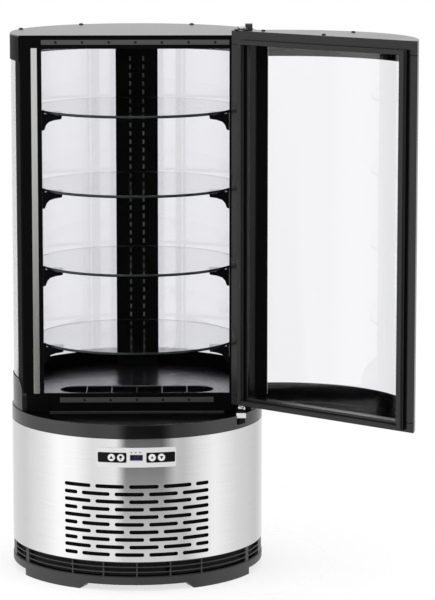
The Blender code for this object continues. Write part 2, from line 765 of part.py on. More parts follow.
def slot_cutters():
    """Rows of long slots with round ends, laid like bricks: each next row is turned end for end."""
    radius = BODY_RADIUS - WRAP_WALL / 2
    reach = CUT_OVER / 2
    long_slot = extruded("long_slot", [stadium(SLOT_LENGTH, SLOT_HEIGHT)], -reach, reach)
    short_slot = extruded("short_slot", [stadium(HALF_SLOT_LENGTH, SLOT_HEIGHT)], -reach, reach)
    row_length = SLOTS_IN_ROW * (SLOT_LENGTH + SLOT_GAP) + HALF_SLOT_LENGTH
    stamps = []
    for row in range(SLOT_ROWS):
        z = SLOT_TOP_ROW - row * SLOT_ROW_PITCH
        side = 1.0 if row % 2 == 0 else -1.0
        for place in range(SLOTS_IN_ROW + 1):
            last = place == SLOTS_IN_ROW
            length = HALF_SLOT_LENGTH if last else SLOT_LENGTH
            along = -row_length / 2 + place * (SLOT_LENGTH + SLOT_GAP) + length / 2
            angle = math.degrees(side * along / radius)
            stamps.append((short_slot if last else long_slot, outward(angle, z, radius)))
    return joined("slots", stamps)


def make_wrap(build):
    profile = [
        (BODY_RADIUS, WRAP_TOP),
        (BODY_RADIUS, WRAP_BOTTOM),
        (WRAP_INSIDE, WRAP_BOTTOM),
        (WRAP_INSIDE, WRAP_TOP),
    ]
    wrap = build.turned_node("steel_wrap", profile, True, "brushed_steel")
    build.cut(wrap, slot_cutters(), "slots")
    half = BOARD_HALF_WIDTH - BOARD_LAP
    low = CONTROL_HEIGHT - BOARD_HEIGHT / 2 + BOARD_LAP
    high = CONTROL_HEIGHT + BOARD_HEIGHT / 2 - BOARD_LAP
    window = box_mesh("window", -half, half, -BODY_RADIUS - CUT_OVER, BOARD_FRONT_Y, low, high)
    build.cut(wrap, window, "control_window")


def make_base_cover(build):
    spigot = WRAP_INSIDE - GAP
    low = WRAP_TOP + GAP
    profile = [
        (0.0, DECK_TOP),
        (BODY_RADIUS - RIM_WIDTH, DECK_TOP),
        (BODY_RADIUS - RIM_WIDTH, RIM_TOP),
        (BODY_RADIUS, RIM_TOP),
        (BODY_RADIUS, low),
        (spigot, low),
        (spigot, low - COVER_SPIGOT),
        (spigot - COVER_WALL, low - COVER_SPIGOT),
        (spigot - COVER_WALL, DECK_TOP - COVER_WALL),
        (0.0, DECK_TOP - COVER_WALL),
    ]
    cover = build.turned_node("base_cover", profile, False, "black_plastic")
    hole = d_outline(TUB_RADIUS + SLIDE_GAP, TUB_FRONT_Y - GAP)
    build.cut(cover, extruded("tub_hole", [hole], DECK_TOP - CUT_OVER, DECK_TOP + CUT_OVER), "tub_hole")


# Controls

def make_controls(build):
    outer = PANEL_RADIUS
    loop = band_outline(outer - PANEL_THICK, outer, -PANEL_HALF_ANGLE, PANEL_HALF_ANGLE)
    outer_angle = math.degrees(OUTER_BUTTON / outer)
    inner_angle = math.degrees(INNER_BUTTON / outer)
    buttons = (
        ("button_up", -outer_angle),
        ("button_lamp", -inner_angle),
        ("button_defrost", inner_angle),
        ("button_down", outer_angle),
    )
    foil = extruded("control_panel", [loop], PANEL_LOW, PANEL_HIGH)
    panel = build.node("control_panel", foil, "panel_foil")
    hole = rod_mesh("button_hole", BUTTON_RADIUS + SLIDE_GAP, -CUT_OVER, CUT_OVER, 16)
    holes = [(hole, outward(angle, CONTROL_HEIGHT, outer)) for _, angle in buttons]
    build.cut(panel, joined("button_holes", holes), "button_holes")
    half_width = DISPLAY_WIDTH / 2
    half_height = DISPLAY_HEIGHT / 2
    low = CONTROL_HEIGHT - half_height
    high = CONTROL_HEIGHT + half_height
    window = box_mesh(
        "display_hole", -half_width - GAP, half_width + GAP, -outer - CUT_OVER, BOARD_FRONT_Y,
        low - GAP, high + GAP,
    )
    build.cut(panel, window, "display_hole")
    front = -outer - DISPLAY_PROUD
    display = box_mesh("display", -half_width, half_width, front, BOARD_FRONT_Y - GAP, low, high)
    build.node("display", display, "display_window")
    for name, angle in buttons:
        button = rod_mesh(name, BUTTON_RADIUS, -BUTTON_LENGTH, 0.0, 16)
        obj = build.node(name, button, "button_white")
        obj.matrix_local = outward(angle, CONTROL_HEIGHT, outer + BUTTON_PROUD)
        bevel = obj.modifiers.new("edge", "BEVEL")
        bevel.width = BUTTON_EDGE
        bevel.segments = 1
        bevel.limit_method = "ANGLE"
    low = CONTROL_HEIGHT - BOARD_HEIGHT / 2
    board = box_mesh(
        "control_board", -BOARD_HALF_WIDTH, BOARD_HALF_WIDTH, BOARD_FRONT_Y, BOARD_FRONT_Y + BOARD_DEPTH,
        low, low + BOARD_HEIGHT,
    )
    obj = build.node("control_board", board, "dark_moulding")
    ear_half = BOARD_HALF_WIDTH + EAR_WIDTH
    ear_y = -math.sqrt((WRAP_INSIDE - SLIDE_GAP) ** 2 - ear_half ** 2)
    ears = box_mesh(
        "ears", -ear_half, ear_half, ear_y, ear_y + EAR_THICK, low + BOARD_LAP, low + BOARD_HEIGHT - BOARD_LAP
    )
    build.fuse(obj, ears, "ears")


# Front frame

def post_outline():
    """The right-hand post: a square nose for the door seal, and a pocket behind it for the glazing's edge."""
    front = angle_at(PANE_RADIUS, FRAME_FRONT_Y)
    rear = angle_at(PANE_RADIUS, POST_REAR_Y)
    clear_start = angle_at(POST_SHELF_RADIUS, POST_REAR_Y + POST_BACK_RISE - SLIDE_GAP)
    clear_end = math.degrees(math.asin(FRAME_OPENING_HALF / POST_SHELF_RADIUS))
    pocket_x = math.sqrt(PANE_INSIDE ** 2 - POST_REAR_Y ** 2) - GAP
    return (
        [(FRAME_OPENING_HALF, FRAME_FRONT_Y)]
        + sweep(PANE_RADIUS, front, rear)
        + [(pocket_x, POST_REAR_Y), (pocket_x - POST_BACK_SLOPE, POST_REAR_Y + POST_BACK_RISE)]
        + sweep(POST_SHELF_RADIUS, clear_start, clear_end)
    )


def make_door_frame(build):
    """Both posts and the header across them, made as one frame."""
    low = SILL_TOP + GAP
    outline = post_outline()
    posts = extruded("door_frame", [outline, mirrored(outline)], low, UNDER_CANOPY)
    frame = build.node("door_frame", posts, "black_plastic")
    half = FRAME_OPENING_HALF + HEADER_TUCK
    front = FRAME_FRONT_Y + HEADER_STEP
    top = UNDER_CANOPY - HEADER_STEP
    header = box_mesh("header", -half, half, front, front + HEADER_DEPTH, HEADER_BOTTOM, top)
    build.fuse(frame, header, "header")
    notch = [
        (BODY_RADIUS + CUT_OVER, COLLAR_TOP + GAP),
        (BODY_RADIUS + CUT_OVER, low - CUT_OVER),
        (COLLAR_INSIDE - GAP, low - CUT_OVER),
        (COLLAR_INSIDE - GAP, COLLAR_TOP + GAP),
    ]
    build.cut_turned(frame, notch, "collar_notch", collar_corner(GAP, COLLAR_CORNER_STEPS - 1))


def make_sill(build):
    """A narrow bar with a broad foot block at each end for the posts."""
    outer = COLLAR_INSIDE - GAP
    bar_y = FRAME_FRONT_Y + SILL_SETBACK
    half = [(SILL_BLOCK_INNER, bar_y), (SILL_BLOCK_INNER, FRAME_FRONT_Y)]
    half += sweep(outer, angle_at(outer, FRAME_FRONT_Y), angle_at(outer, SILL_REAR_Y))
    loop = half + mirrored(half)
    build.node("sill", extruded("sill", [loop], DECK_TOP + GAP, SILL_TOP), "black_plastic")


def make_strips(build):
    """Steel strips, let on to the frame, that the door's magnetic seal closes on."""
    rear = FRAME_FRONT_Y - GAP
    front = rear - STRIP_THICK
    sill_rear = FRAME_FRONT_Y + SILL_SETBACK - GAP
    sides = (
        ("strip_right", STRIP_INNER, STRIP_OUTER, front, rear, SILL_TOP + GAP, STRIP_SIDE_TOP),
        ("strip_left", -STRIP_OUTER, -STRIP_INNER, front, rear, SILL_TOP + GAP, STRIP_SIDE_TOP),
        ("strip_top", -FRAME_OPENING_HALF, FRAME_OPENING_HALF, front, rear, TOP_STRIP_LOW, TOP_STRIP_HIGH),
        ("strip_bottom", -BOTTOM_STRIP_HALF, BOTTOM_STRIP_HALF, front, sill_rear,
         BOTTOM_STRIP_LOW, BOTTOM_STRIP_HIGH),
    )
    for name, *sizes in sides:
        build.node(name, box_mesh(name, *sizes), "steel_strip")


# Glazed body

def front_cut(low, high):
    """A block that takes away all that lies in front of the frame's plane."""
    return box_mesh("front", -BEYOND, BEYOND, -BEYOND, BACK_CUT_Y, low - CUT_OVER, high + CUT_OVER)


def collar_corner(clearance, steps):
    """A bar across the case, whose lower rear side is the collar's rounded front corner.

    Its outline is drawn from the side, as (y, z). It follows the round for this many of its steps.
    """
    middle_y = BACK_CUT_Y + COLLAR_CORNER_LENGTH
    middle_z = COLLAR_TOP - COLLAR_CORNER_HEIGHT
    length = COLLAR_CORNER_LENGTH + clearance
    height = COLLAR_CORNER_HEIGHT + clearance
    turns = [math.pi / 2 * step / COLLAR_CORNER_STEPS for step in range(steps + 1)]
    round_off = [(middle_y - length * math.sin(turn), middle_z + height * math.cos(turn)) for turn in turns]
    far_y = BACK_CUT_Y - CUT_OVER
    top = COLLAR_TOP + CUT_OVER
    outline = round_off + [(far_y, round_off[-1][1]), (far_y, top), (middle_y, top)]
    flat = extruded("corner", [outline], -BEYOND, BEYOND)
    across = Matrix(((0, 0, 1, 0), (1, 0, 0, 0), (0, 1, 0, 0), (0, 0, 0, 1)))
    return joined("corner", [(flat, across)])


def make_collar(build):
    low = RIM_TOP + GAP
    thin = CABINET_RADIUS - SHEET_WALL
    profile = [
        (CABINET_RADIUS, COLLAR_TOP),
        (CABINET_RADIUS, low),
        (COLLAR_INSIDE, low),
        (COLLAR_INSIDE, COLLAR_LEDGE),
        (thin, COLLAR_LEDGE),
        (thin, COLLAR_TOP),
    ]
    collar = build.turned_node("collar", profile, True, "black_plastic")
    build.cut(collar, front_cut(low, COLLAR_TOP), "front")
    build.cut(collar, collar_corner(0.0, COLLAR_CORNER_STEPS), "corners")


def make_glazing(build):
    """Two curved double panes that meet behind the air column."""
    start = angle_at(PANE_RADIUS, POST_REAR_Y + GAP)
    end = 180.0 - PANE_JOINT
    margin = math.degrees(PANE_EDGE / PANE_RADIUS)
    space_out = PANE_RADIUS - PANE_OUTER
    space_in = PANE_INSIDE + PANE_INNER
    solid = band_outline(PANE_INSIDE, PANE_RADIUS, start, end)
    space = band_outline(space_in, space_out, start + margin, end - margin)
    for name, loops in (
        ("glazing_right", [solid, space]),
        ("glazing_left", [mirrored(solid), mirrored(space)]),
    ):
        build.node(name, extruded(name, loops, COLLAR_LEDGE + GAP, UNDER_CANOPY), "clear_glass")


def make_canopy(build):
    thin = CABINET_RADIUS - SHEET_WALL
    under = CANOPY_TOP - CANOPY_PLATE
    profile = [
        (0.0, CANOPY_TOP),
        (CABINET_RADIUS - CANOPY_EDGE, CANOPY_TOP),
        (CABINET_RADIUS, CANOPY_TOP - CANOPY_EDGE),
        (CABINET_RADIUS, CANOPY_BOTTOM),
        (thin, CANOPY_BOTTOM),
        (thin, under),
        (0.0, under),
    ]
    canopy = build.turned_node("canopy", profile, False, "black_enamel")
    build.cut(canopy, front_cut(CANOPY_BOTTOM, CANOPY_TOP), "front")


# Cold air

def vent_loops():
    """The long floor slot with round ends, parted by thin ribs into windows."""
    middle = (VENT_FRONT_Y + VENT_REAR_Y) / 2
    depth = VENT_REAR_Y - VENT_FRONT_Y
    edges = [(rib - (VENT_RIBS - 1) / 2) * VENT_RIB_PITCH for rib in range(VENT_RIBS)]
    half_rib = VENT_RIB_WIDTH / 2
    loops = []
    for left, right in zip(edges, edges[1:]):
        loops.append(rectangle(left + half_rib, right - half_rib, VENT_FRONT_Y, VENT_REAR_Y))
    rounded = [(x, y + middle) for x, y in stadium(2 * VENT_HALF_WIDTH, depth, 8)]
    last = edges[-1] + half_rib
    end = [(last, VENT_FRONT_Y)] + [point for point in rounded if point[0] > last] + [(last, VENT_REAR_Y)]
    return loops + [end, mirrored(end)]


def make_floor(build):
    outline = d_outline(FLOOR_RADIUS, FLOOR_FRONT_Y)
    half = COLUMN_HALF_WIDTH - DUCT_INSET
    duct_front = COLUMN_FRONT_Y + DUCT_SETBACK
    duct = rectangle(-half, half, duct_front, duct_front + DUCT_DEPTH)
    loops = [outline, duct] + vent_loops()
    sheet = extruded("floor_plate", loops, FLOOR_TOP - FLOOR_THICK, FLOOR_TOP)
    build.node("floor_plate", sheet, "floor_steel")


def make_tub(build):
    outer = d_outline(TUB_RADIUS, TUB_FRONT_Y)
    inner = d_outline(TUB_RADIUS - TUB_WALL, TUB_FRONT_Y + TUB_WALL)
    tub = build.node("evaporator_tub", extruded("evaporator_tub", [outer], TUB_BOTTOM, TUB_TOP), "white_tub")
    flange_low = DECK_TOP + GAP
    flange = d_outline(TUB_RADIUS + TUB_FLANGE, TUB_FRONT_Y)
    build.fuse(tub, extruded("flange", [flange], flange_low, flange_low + TUB_FLANGE_THICK), "flange")
    build.cut(tub, extruded("hollow", [inner], TUB_FLOOR, TUB_TOP + CUT_OVER), "hollow")


def finned_block(build, name, x_half, y_low, y_high, z_low, z_high):
    """A coil block whose fins stand out on its two broad faces."""
    block = build.node(name, box_mesh(name, -x_half, x_half, y_low, y_high, z_low, z_high), "coil_aluminium")
    pitch = 2 * x_half / COIL_FINS
    groove = box_mesh(
        "groove", -FIN_GROOVE / 2, FIN_GROOVE / 2, -FIN_GROOVE_DEPTH, FIN_GROOVE_DEPTH,
        z_low - CUT_OVER, z_high + CUT_OVER,
    )
    stamps = []
    for fin in range(COIL_FINS):
        x = -x_half + (fin + 0.5) * pitch
        for y in (y_low, y_high):
            stamps.append((groove, Matrix.Translation((x, y, 0.0))))
    build.cut(block, joined("grooves", stamps), "grooves")


def blade_set(radius, depth):
    """Pitched blades from inside the hub to just short of the fan's rim, turning about y."""
    start = radius * HUB_SHARE * 0.7
    half = depth / math.sin(math.radians(BLADE_PITCH)) / 2.9
    blade = box_mesh("blade", start, radius * 0.985, -BLADE_THICK / 2, BLADE_THICK / 2, -half, half)
    tilt = Matrix.Rotation(math.radians(90.0 - BLADE_PITCH), 4, "X")
    stamps = []
    for number in range(FAN_BLADES):
        turn = Matrix.Rotation(2 * math.pi * number / FAN_BLADES, 4, "Y")
        stamps.append((blade, turn @ tilt))
    return joined("blades", stamps)


def along_y(mesh, y_shift=0.0):
    """The mesh of a bar drawn along z, laid along y."""
    turn = Matrix.Rotation(math.radians(-90.0), 4, "X")
    return joined(mesh.name, [(mesh, Matrix.Translation((0.0, y_shift, 0.0)) @ turn)])


def make_fan(build, name, radius, depth, place):
    """A rotor whose origin lies on its axis, with a blind bore in its rear face for the motor's shaft."""
    hub = along_y(rod_mesh("hub", radius * HUB_SHARE, -depth / 2, depth / 2, 20))
    rotor = build.node(name, hub, "dark_moulding", location=place)
    build.fuse(rotor, blade_set(radius, depth * 0.8), "blades")
    bore = rod_mesh("bore", SHAFT_RADIUS + GAP, depth / 2 - SHAFT_LENGTH - GAP, depth / 2 + CUT_OVER, 12)
    build.cut(rotor, along_y(bore), "bore")


def make_motor(build, name, radius, length, place, floor, material):
    """A fan motor on its foot, with the shaft reaching forward. place is the middle of its front face."""
    can = along_y(rod_mesh("can", radius, 0.0, length, 20))
    motor = build.node(name, can, material, location=place)
    build.fuse(motor, along_y(rod_mesh("shaft", SHAFT_RADIUS, -SHAFT_LENGTH, length / 2, 12)), "shaft")
    drop = floor - place[2]
    half = radius * 0.7
    leg = box_mesh("leg", -half, half, length * 0.35, length * 0.6, drop, -radius * 0.5)
    build.fuse(motor, leg, "leg")
    foot_half = half * 1.6
    foot = box_mesh(
        "foot", -foot_half, foot_half, length * 0.1, length * 0.95, drop, drop + MOTOR_FOOT_THICK
    )
    build.fuse(motor, foot, "foot")


def make_cold_set(build):
    low = TUB_FLOOR + GAP
    finned_block(build, "evaporator", COIL_HALF_WIDTH, COIL_FRONT_Y, COIL_REAR_Y, low, low + COIL_HEIGHT)
    height = low + COIL_HEIGHT / 2
    make_fan(build, "evaporator_fan", COLD_FAN_RADIUS, COLD_FAN_DEPTH, (0.0, COLD_FAN_Y, height))
    motor_y = COLD_FAN_Y + COLD_FAN_DEPTH / 2 + GAP
    place = (0.0, motor_y, height)
    make_motor(build, "evaporator_motor", COLD_MOTOR_RADIUS, COLD_MOTOR_LENGTH, place, low, "dark_moulding")


# Rear column

def make_column(build):
    low = FLOOR_TOP + GAP
    outer = rectangle(-COLUMN_HALF_WIDTH, COLUMN_HALF_WIDTH, COLUMN_FRONT_Y, COLUMN_REAR_Y)
    wall = COLUMN_WALL
    inner = rectangle(
        -COLUMN_HALF_WIDTH + wall, COLUMN_HALF_WIDTH - wall, COLUMN_FRONT_Y + wall, COLUMN_REAR_Y - wall
    )
    duct = extruded("air_column", [outer, inner], low, UNDER_CANOPY)
    column = build.node("air_column", duct, "black_plastic")
    slot = box_mesh(
        "slot", -COLUMN_SLOT_WIDTH / 2, COLUMN_SLOT_WIDTH / 2, -wall, wall * 1.6,
        -COLUMN_SLOT_HEIGHT / 2, COLUMN_SLOT_HEIGHT / 2,
    )
    pitch = SHELF_PITCH / SLOTS_PER_SHELF
    first = rear_slot_height(0) - SLOTS_UNDER_SHELVES * pitch
    count = 1 + int((UNDER_CANOPY - COLUMN_TOP_PLAIN - first) / pitch)
    stamps = []
    for number in range(count):
        for x in (-COLUMN_SLOT_X, COLUMN_SLOT_X):
            place = Matrix.Translation((x, COLUMN_FRONT_Y, first + number * pitch))
            stamps.append((slot, place))
    build.cut(column, joined("slots", stamps), "slots")


# Shelves

def shelf_top(number):
    return SHELF_LOWEST + number * SHELF_PITCH


def rear_slot_height(number):
    """The middle of the pair of column slots that carries this shelf's rear bracket."""
    return shelf_top(number) - SHELF_THICK - PRONG_DROP


def bracket_mesh(top, side):
    """A front bracket in elevation: an arm under the glass, a hook at its edge and a curved web below."""
    under = top - SHELF_THICK - GAP
    outer = FRAME_OPENING_HALF - GAP
    upright = HOOK_INNER
    tip = outer - ARM_REACH
    outline = [
        (outer, top + HOOK_RISE),
        (outer, under - ARM_DROP),
        (upright, under - ARM_DROP + 0.001),
        (outer - 0.0075, under - ARM_DROP * 0.66),
        (outer - 0.0125, under - ARM_DROP * 0.48),
        (outer - 0.022, under - ARM_DROP * 0.37),
        (tip + 0.001, under - ARM_TIP),
        (tip, under - ARM_TIP * 0.5),
        (tip, under),
        (upright, under),
        (upright, top + HOOK_RISE),
    ]
    flat = extruded("bracket", [[(side * x, z) for x, z in outline]], -ARM_THICK / 2, ARM_THICK / 2)
    middle = ARM_FRONT_Y + ARM_THICK / 2
    stand = Matrix.Translation((0.0, middle, 0.0)) @ Matrix.Rotation(math.radians(90.0), 4, "X")
    return joined("bracket", [(flat, stand)])


def rear_bracket_mesh():
    return box_mesh(
        "rear_arm", -REAR_ARM_HALF, REAR_ARM_HALF, COLUMN_FRONT_Y - GAP - REAR_ARM_REACH,
        COLUMN_FRONT_Y - GAP, -REAR_ARM_THICK, 0.0,
    )


def make_shelves(build):
    for number in range(SHELF_COUNT):
        top = shelf_top(number)
        tag = str(number + 1)
        disc = sweep(SHELF_RADIUS, 0.0, 360.0 - ARC_STEP)
        build.node(f"shelf_{tag}", extruded("shelf", [disc], top - SHELF_THICK, top), "clear_glass")
        build.node(f"bracket_right_{tag}", bracket_mesh(top, 1.0), "black_plastic")
        build.node(f"bracket_left_{tag}", bracket_mesh(top, -1.0), "black_plastic")
        under = top - SHELF_THICK - GAP
        rear = build.node(
            f"bracket_rear_{tag}", rear_bracket_mesh(), "black_plastic", location=(0.0, 0.0, under)
        )
        plate_front = COLUMN_FRONT_Y - GAP - REAR_PLATE
        plate = box_mesh(
            "plate", -REAR_ARM_HALF, REAR_ARM_HALF, plate_front, COLUMN_FRONT_Y - GAP,
            -REAR_ARM_DROP, -REAR_ARM_THICK / 2,
        )
        build.fuse(rear, plate, "plate")
        prong = box_mesh(
            "prong", -COLUMN_SLOT_WIDTH / 2 + GAP, COLUMN_SLOT_WIDTH / 2 - GAP,
            plate_front + 0.0005, COLUMN_FRONT_Y - GAP + PRONG_LENGTH,
            -COLUMN_SLOT_HEIGHT / 2 + GAP, COLUMN_SLOT_HEIGHT / 2 - GAP,
        )
        height = rear_slot_height(number) - under
        stamps = [(prong, Matrix.Translation((x, 0.0, height))) for x in (-COLUMN_SLOT_X, COLUMN_SLOT_X)]
        build.fuse(rear, joined("prongs", stamps), "prongs")


def make_light_bars(build):
    front = POST_REAR_Y + POST_BACK_RISE + GAP
    for name, side in (("light_bar_right", 1.0), ("light_bar_left", -1.0)):
        middle = side * LED_X
        bar = box_mesh(
            name, middle - LED_WIDTH / 2, middle + LED_WIDTH / 2, front, front + LED_DEPTH, LED_LOW, LED_HIGH
        )
        build.node(name, bar, "lamp_diffuser")


# Door

def step_outline():
    """What a cap's skirt loses beyond its rail: all that lies outside the stiles' inner faces."""
    edge = math.radians(STILE_ANGLE - STILE_CAP_GAP)
    chord = RAIL_REAR_Y - RAIL_STEP
    half = [
        (BEYOND, DOOR_FACE_Y + CUT_OVER),
        (BEYOND, -BEYOND / math.tan(edge)),
        (-chord * math.tan(edge), chord),
    ]
    return half + mirrored(half)


def cap_node(build, name, low, high, rail_end, pin_low, pin_high, rises):
    """A door end cap: a plate with a skirt round its arc and a lower rail along its chord.

    Skirt and rail rise from the plate of the bottom cap, and hang from the plate of the top one.
    """
    outline = segment_outline(BODY_RADIUS, DOOR_FACE_Y)
    cap = build.door_node(name, extruded(name, [outline], low, high), "black_plastic")
    pocket = segment_outline(BODY_RADIUS - DOOR_SKIN, RAIL_REAR_Y)
    pocket_low = low + CAP_PLATE if rises else low - CUT_OVER
    pocket_high = high + CUT_OVER if rises else high - CAP_PLATE
    build.cut(cap, extruded("pocket", [pocket], pocket_low, pocket_high), "pocket")
    step_low = rail_end if rises else low - CUT_OVER
    step_high = high + CUT_OVER if rises else rail_end
    build.cut(cap, extruded("step", [step_outline()], step_low, step_high), "step")
    bore = extruded("bore", [circle(PIN_RADIUS + SLIDE_GAP, PIN_X, PIN_Y)], pin_low, pin_high)
    build.cut(cap, bore, "pin_bore")


def make_door_caps(build):
    cap_node(
        build, "door_bottom_cap", DOOR_BOTTOM, DOOR_BOTTOM + FOOT_SKIRT, RAIL_LOW,
        DOOR_BOTTOM - CUT_OVER, DOOR_BOTTOM + PIN_ENTRY + GAP, True,
    )
    cap_node(
        build, "door_top_cap", DOOR_TOP - HEAD_SKIRT, DOOR_TOP, RAIL_HIGH,
        DOOR_TOP - PIN_ENTRY - GAP, DOOR_TOP + CUT_OVER, False,
    )


def make_stiles(build):
    """Open channels: a flat flange for the seal and a curved outer wall that holds the pane's edge."""
    end = angle_at(BODY_RADIUS, DOOR_FACE_Y)
    inside = BODY_RADIUS - DOOR_SKIN
    flange_y = DOOR_FACE_Y - STILE_FLANGE
    outline = (
        [(STILE_INNER, flange_y), (STILE_INNER, DOOR_FACE_Y)]
        + sweep(BODY_RADIUS, end, STILE_ANGLE)
        + sweep(inside, STILE_ANGLE, angle_at(inside, flange_y))
    )
    low = RAIL_LOW + GAP
    high = RAIL_HIGH - GAP
    build.door_node("door_hinge_stile", extruded("door_hinge_stile", [outline], low, high), "black_plastic")
    build.door_node(
        "door_free_stile", extruded("door_free_stile", [mirrored(outline)], low, high), "black_plastic"
    )


def make_door_pane(build):
    reach = STILE_ANGLE + DOOR_PANE_TUCK
    loop = band_outline(DOOR_PANE_RADIUS - DOOR_PANE, DOOR_PANE_RADIUS, -reach, reach)
    low = DOOR_BOTTOM + CAP_PLATE + GAP
    high = DOOR_TOP - CAP_PLATE - GAP
    pane = build.door_node("door_pane", extruded("door_pane", [loop], low, high), "clear_glass")
    corner = rectangle(STILE_INNER - PANE_NOTCH, BEYOND, -BEYOND, 0.0)
    for label, start, stop in (
        ("low_corners", low - CUT_OVER, RAIL_LOW + GAP),
        ("high_corners", RAIL_HIGH - GAP, high + CUT_OVER),
    ):
        build.cut(pane, extruded(label, [corner, mirrored(corner)], start, stop), label)


def make_gasket(build):
    """The magnetic seal: one rectangular loop standing on the door's flat face."""
    half = GASKET_X + GASKET_WIDTH / 2
    inner = half - GASKET_WIDTH
    low = DOOR_BOTTOM + GASKET_FOOT
    high = DOOR_TOP - GASKET_HEAD
    outer_loop = rectangle(-half, half, low, high)
    hole = rectangle(-inner, inner, low + GASKET_WIDTH, high - GASKET_WIDTH)
    flat = extruded("gasket", [outer_loop, hole], -GASKET_PROUD / 2, GASKET_PROUD / 2)
    middle = DOOR_FACE_Y + GAP + GASKET_PROUD / 2
    stand = Matrix.Translation((0.0, middle, 0.0)) @ Matrix.Rotation(math.radians(90.0), 4, "X")
    build.door_node("door_gasket", joined("door_gasket", [(flat, stand)]), "gasket_rubber")


# Hinges

def make_lower_hinge(build):
    low = RIM_TOP + GAP
    high = low + LOWER_PLATE_THICK
    lip_y = -math.sqrt(BODY_RADIUS ** 2 - PIN_X ** 2) - LOWER_LIP_MEET
    x_low, x_high = PIN_X - LOWER_PLATE_HALF, PIN_X + LOWER_PLATE_HALF
    plate = box_mesh("plate", x_low, x_high, lip_y, FRAME_FRONT_Y - LOWER_PLATE_REAR, low, high)
    bracket = build.node("lower_hinge_bracket", plate, "zinc_sheet")
    angle = math.degrees(math.asin(PIN_X / BODY_RADIUS))
    reach = math.degrees(LOWER_PLATE_HALF / BODY_RADIUS)
    lip_radius = BODY_RADIUS + GAP
    lip = band_outline(lip_radius, lip_radius + LOWER_LIP_THICK, angle - reach, angle + reach)
    build.fuse(bracket, extruded("lip", [lip], high - LOWER_LIP_DROP, high - LOWER_LIP_STEP), "lip")
    hub_low = high + GAP
    shaft_top = DOOR_BOTTOM + PIN_ENTRY
    head = rod_mesh("lower_hinge_pin", PIN_HEAD_RADIUS, hub_low, DOOR_BOTTOM - PIN_HEAD_GAP, 6)
    pin = build.node("lower_hinge_pin", head, "chrome", location=HINGE)
    build.fuse(pin, rod_mesh("shaft", PIN_RADIUS, hub_low + PIN_SINK, shaft_top, 24), "shaft")


def make_upper_hinge(build):
    low = CANOPY_TOP + GAP
    tongue_low = DOOR_TOP + UPPER_TONGUE_LIFT
    tongue_high = tongue_low + UPPER_PLATE_THICK
    x_low, x_high = PIN_X - UPPER_PLATE_HALF, PIN_X + UPPER_PLATE_HALF
    riser_front = BACK_CUT_Y - UPPER_RISER_STEP
    plate = box_mesh("plate", x_low, x_high, riser_front, UPPER_PLATE_REAR_Y, low, low + UPPER_PLATE_THICK)
    bracket = build.node("upper_hinge_bracket", plate, "black_enamel")
    riser = box_mesh("riser", x_low, x_high, riser_front, riser_front + UPPER_PLATE_THICK, low, tongue_high)
    build.fuse(bracket, riser, "riser")
    tongue = box_mesh(
        "tongue", x_low, x_high, PIN_Y - UPPER_PLATE_HALF, riser_front + UPPER_PLATE_THICK,
        tongue_low, tongue_high,
    )
    build.fuse(bracket, tongue, "tongue")
    block_x = x_high - UPPER_BLOCK_LAP
    block = box_mesh(
        "block", block_x, block_x + UPPER_BLOCK_WIDTH, riser_front, riser_front + UPPER_BLOCK_DEPTH,
        low, DOOR_TOP + UPPER_BLOCK_RISE,
    )
    build.fuse(bracket, block, "block")
    hole = rod_mesh("pin_hole", PIN_RADIUS + GAP, tongue_low - CUT_OVER, tongue_high + CUT_OVER, 24)
    build.cut(bracket, joined("pin_hole", [(hole, Matrix.Translation(HINGE))]), "pin_hole")
    head_low = tongue_high + GAP
    head = rod_mesh("upper_hinge_pin", PIN_HEAD_RADIUS, head_low, head_low + UPPER_HEAD_THICK, 6)
    pin = build.node("upper_hinge_pin", head, "chrome", location=HINGE)
    shaft = rod_mesh("shaft", PIN_RADIUS, DOOR_TOP - PIN_ENTRY, head_low + PIN_SINK, 24)
    build.fuse(pin, shaft, "shaft")


# Machinery

def make_machinery(build):
    low = MACHINE_FLOOR
    high = low + CONDENSER_HEIGHT
    rear = CONDENSER_FRONT_Y + CONDENSER_DEPTH
    finned_block(build, "condenser", CONDENSER_HALF_WIDTH, CONDENSER_FRONT_Y, rear, low, high)
    front = rear + GAP
    half = SHROUD_HOLE_RADIUS + SHROUD_RIM
    plate = box_mesh("fan_shroud", -half, half, front, front + SHROUD_THICK, low, high)
    shroud = build.node("fan_shroud", plate, "zinc_sheet")
    hole = along_y(rod_mesh("hole", SHROUD_HOLE_RADIUS, -CUT_OVER, CUT_OVER, 32), front)
    build.cut(shroud, joined("hole", [(hole, Matrix.Translation((0.0, 0.0, HOT_FAN_HEIGHT)))]), "fan_hole")
    fan_y = front + HOT_FAN_DEPTH / 2 + HOT_FAN_SPACE
    make_fan(build, "condenser_fan", HOT_FAN_RADIUS, HOT_FAN_DEPTH, (0.0, fan_y, HOT_FAN_HEIGHT))
    place = (0.0, fan_y + HOT_FAN_DEPTH / 2 + GAP, HOT_FAN_HEIGHT)
    make_motor(build, "condenser_motor", HOT_MOTOR_RADIUS, HOT_MOTOR_LENGTH, place, low, "zinc_sheet")
    make_compressor(build)


def make_compressor(build):
    """A welded can with domed ends on a narrower foot."""
    low = MACHINE_FLOOR
    radius = COMPRESSOR_RADIUS
    foot_radius = radius - COMPRESSOR_SKIRT / 2
    shoulder = low + COMPRESSOR_HEIGHT - COMPRESSOR_DOME
    turns = [math.radians(22.5 * step) for step in range(5)]
    crown = [(radius * math.sin(turn), shoulder + COMPRESSOR_DOME * math.cos(turn)) for turn in turns]
    profile = crown + [
        (radius, low + COMPRESSOR_SKIRT),
        (foot_radius, low + COMPRESSOR_FOOT),
        (foot_radius, low),
        (0.0, low),
    ]
    place = (0.0, COMPRESSOR_Y, 0.0)
    build.turned_node("compressor", profile, False, "compressor_black", location=place, steps=24)


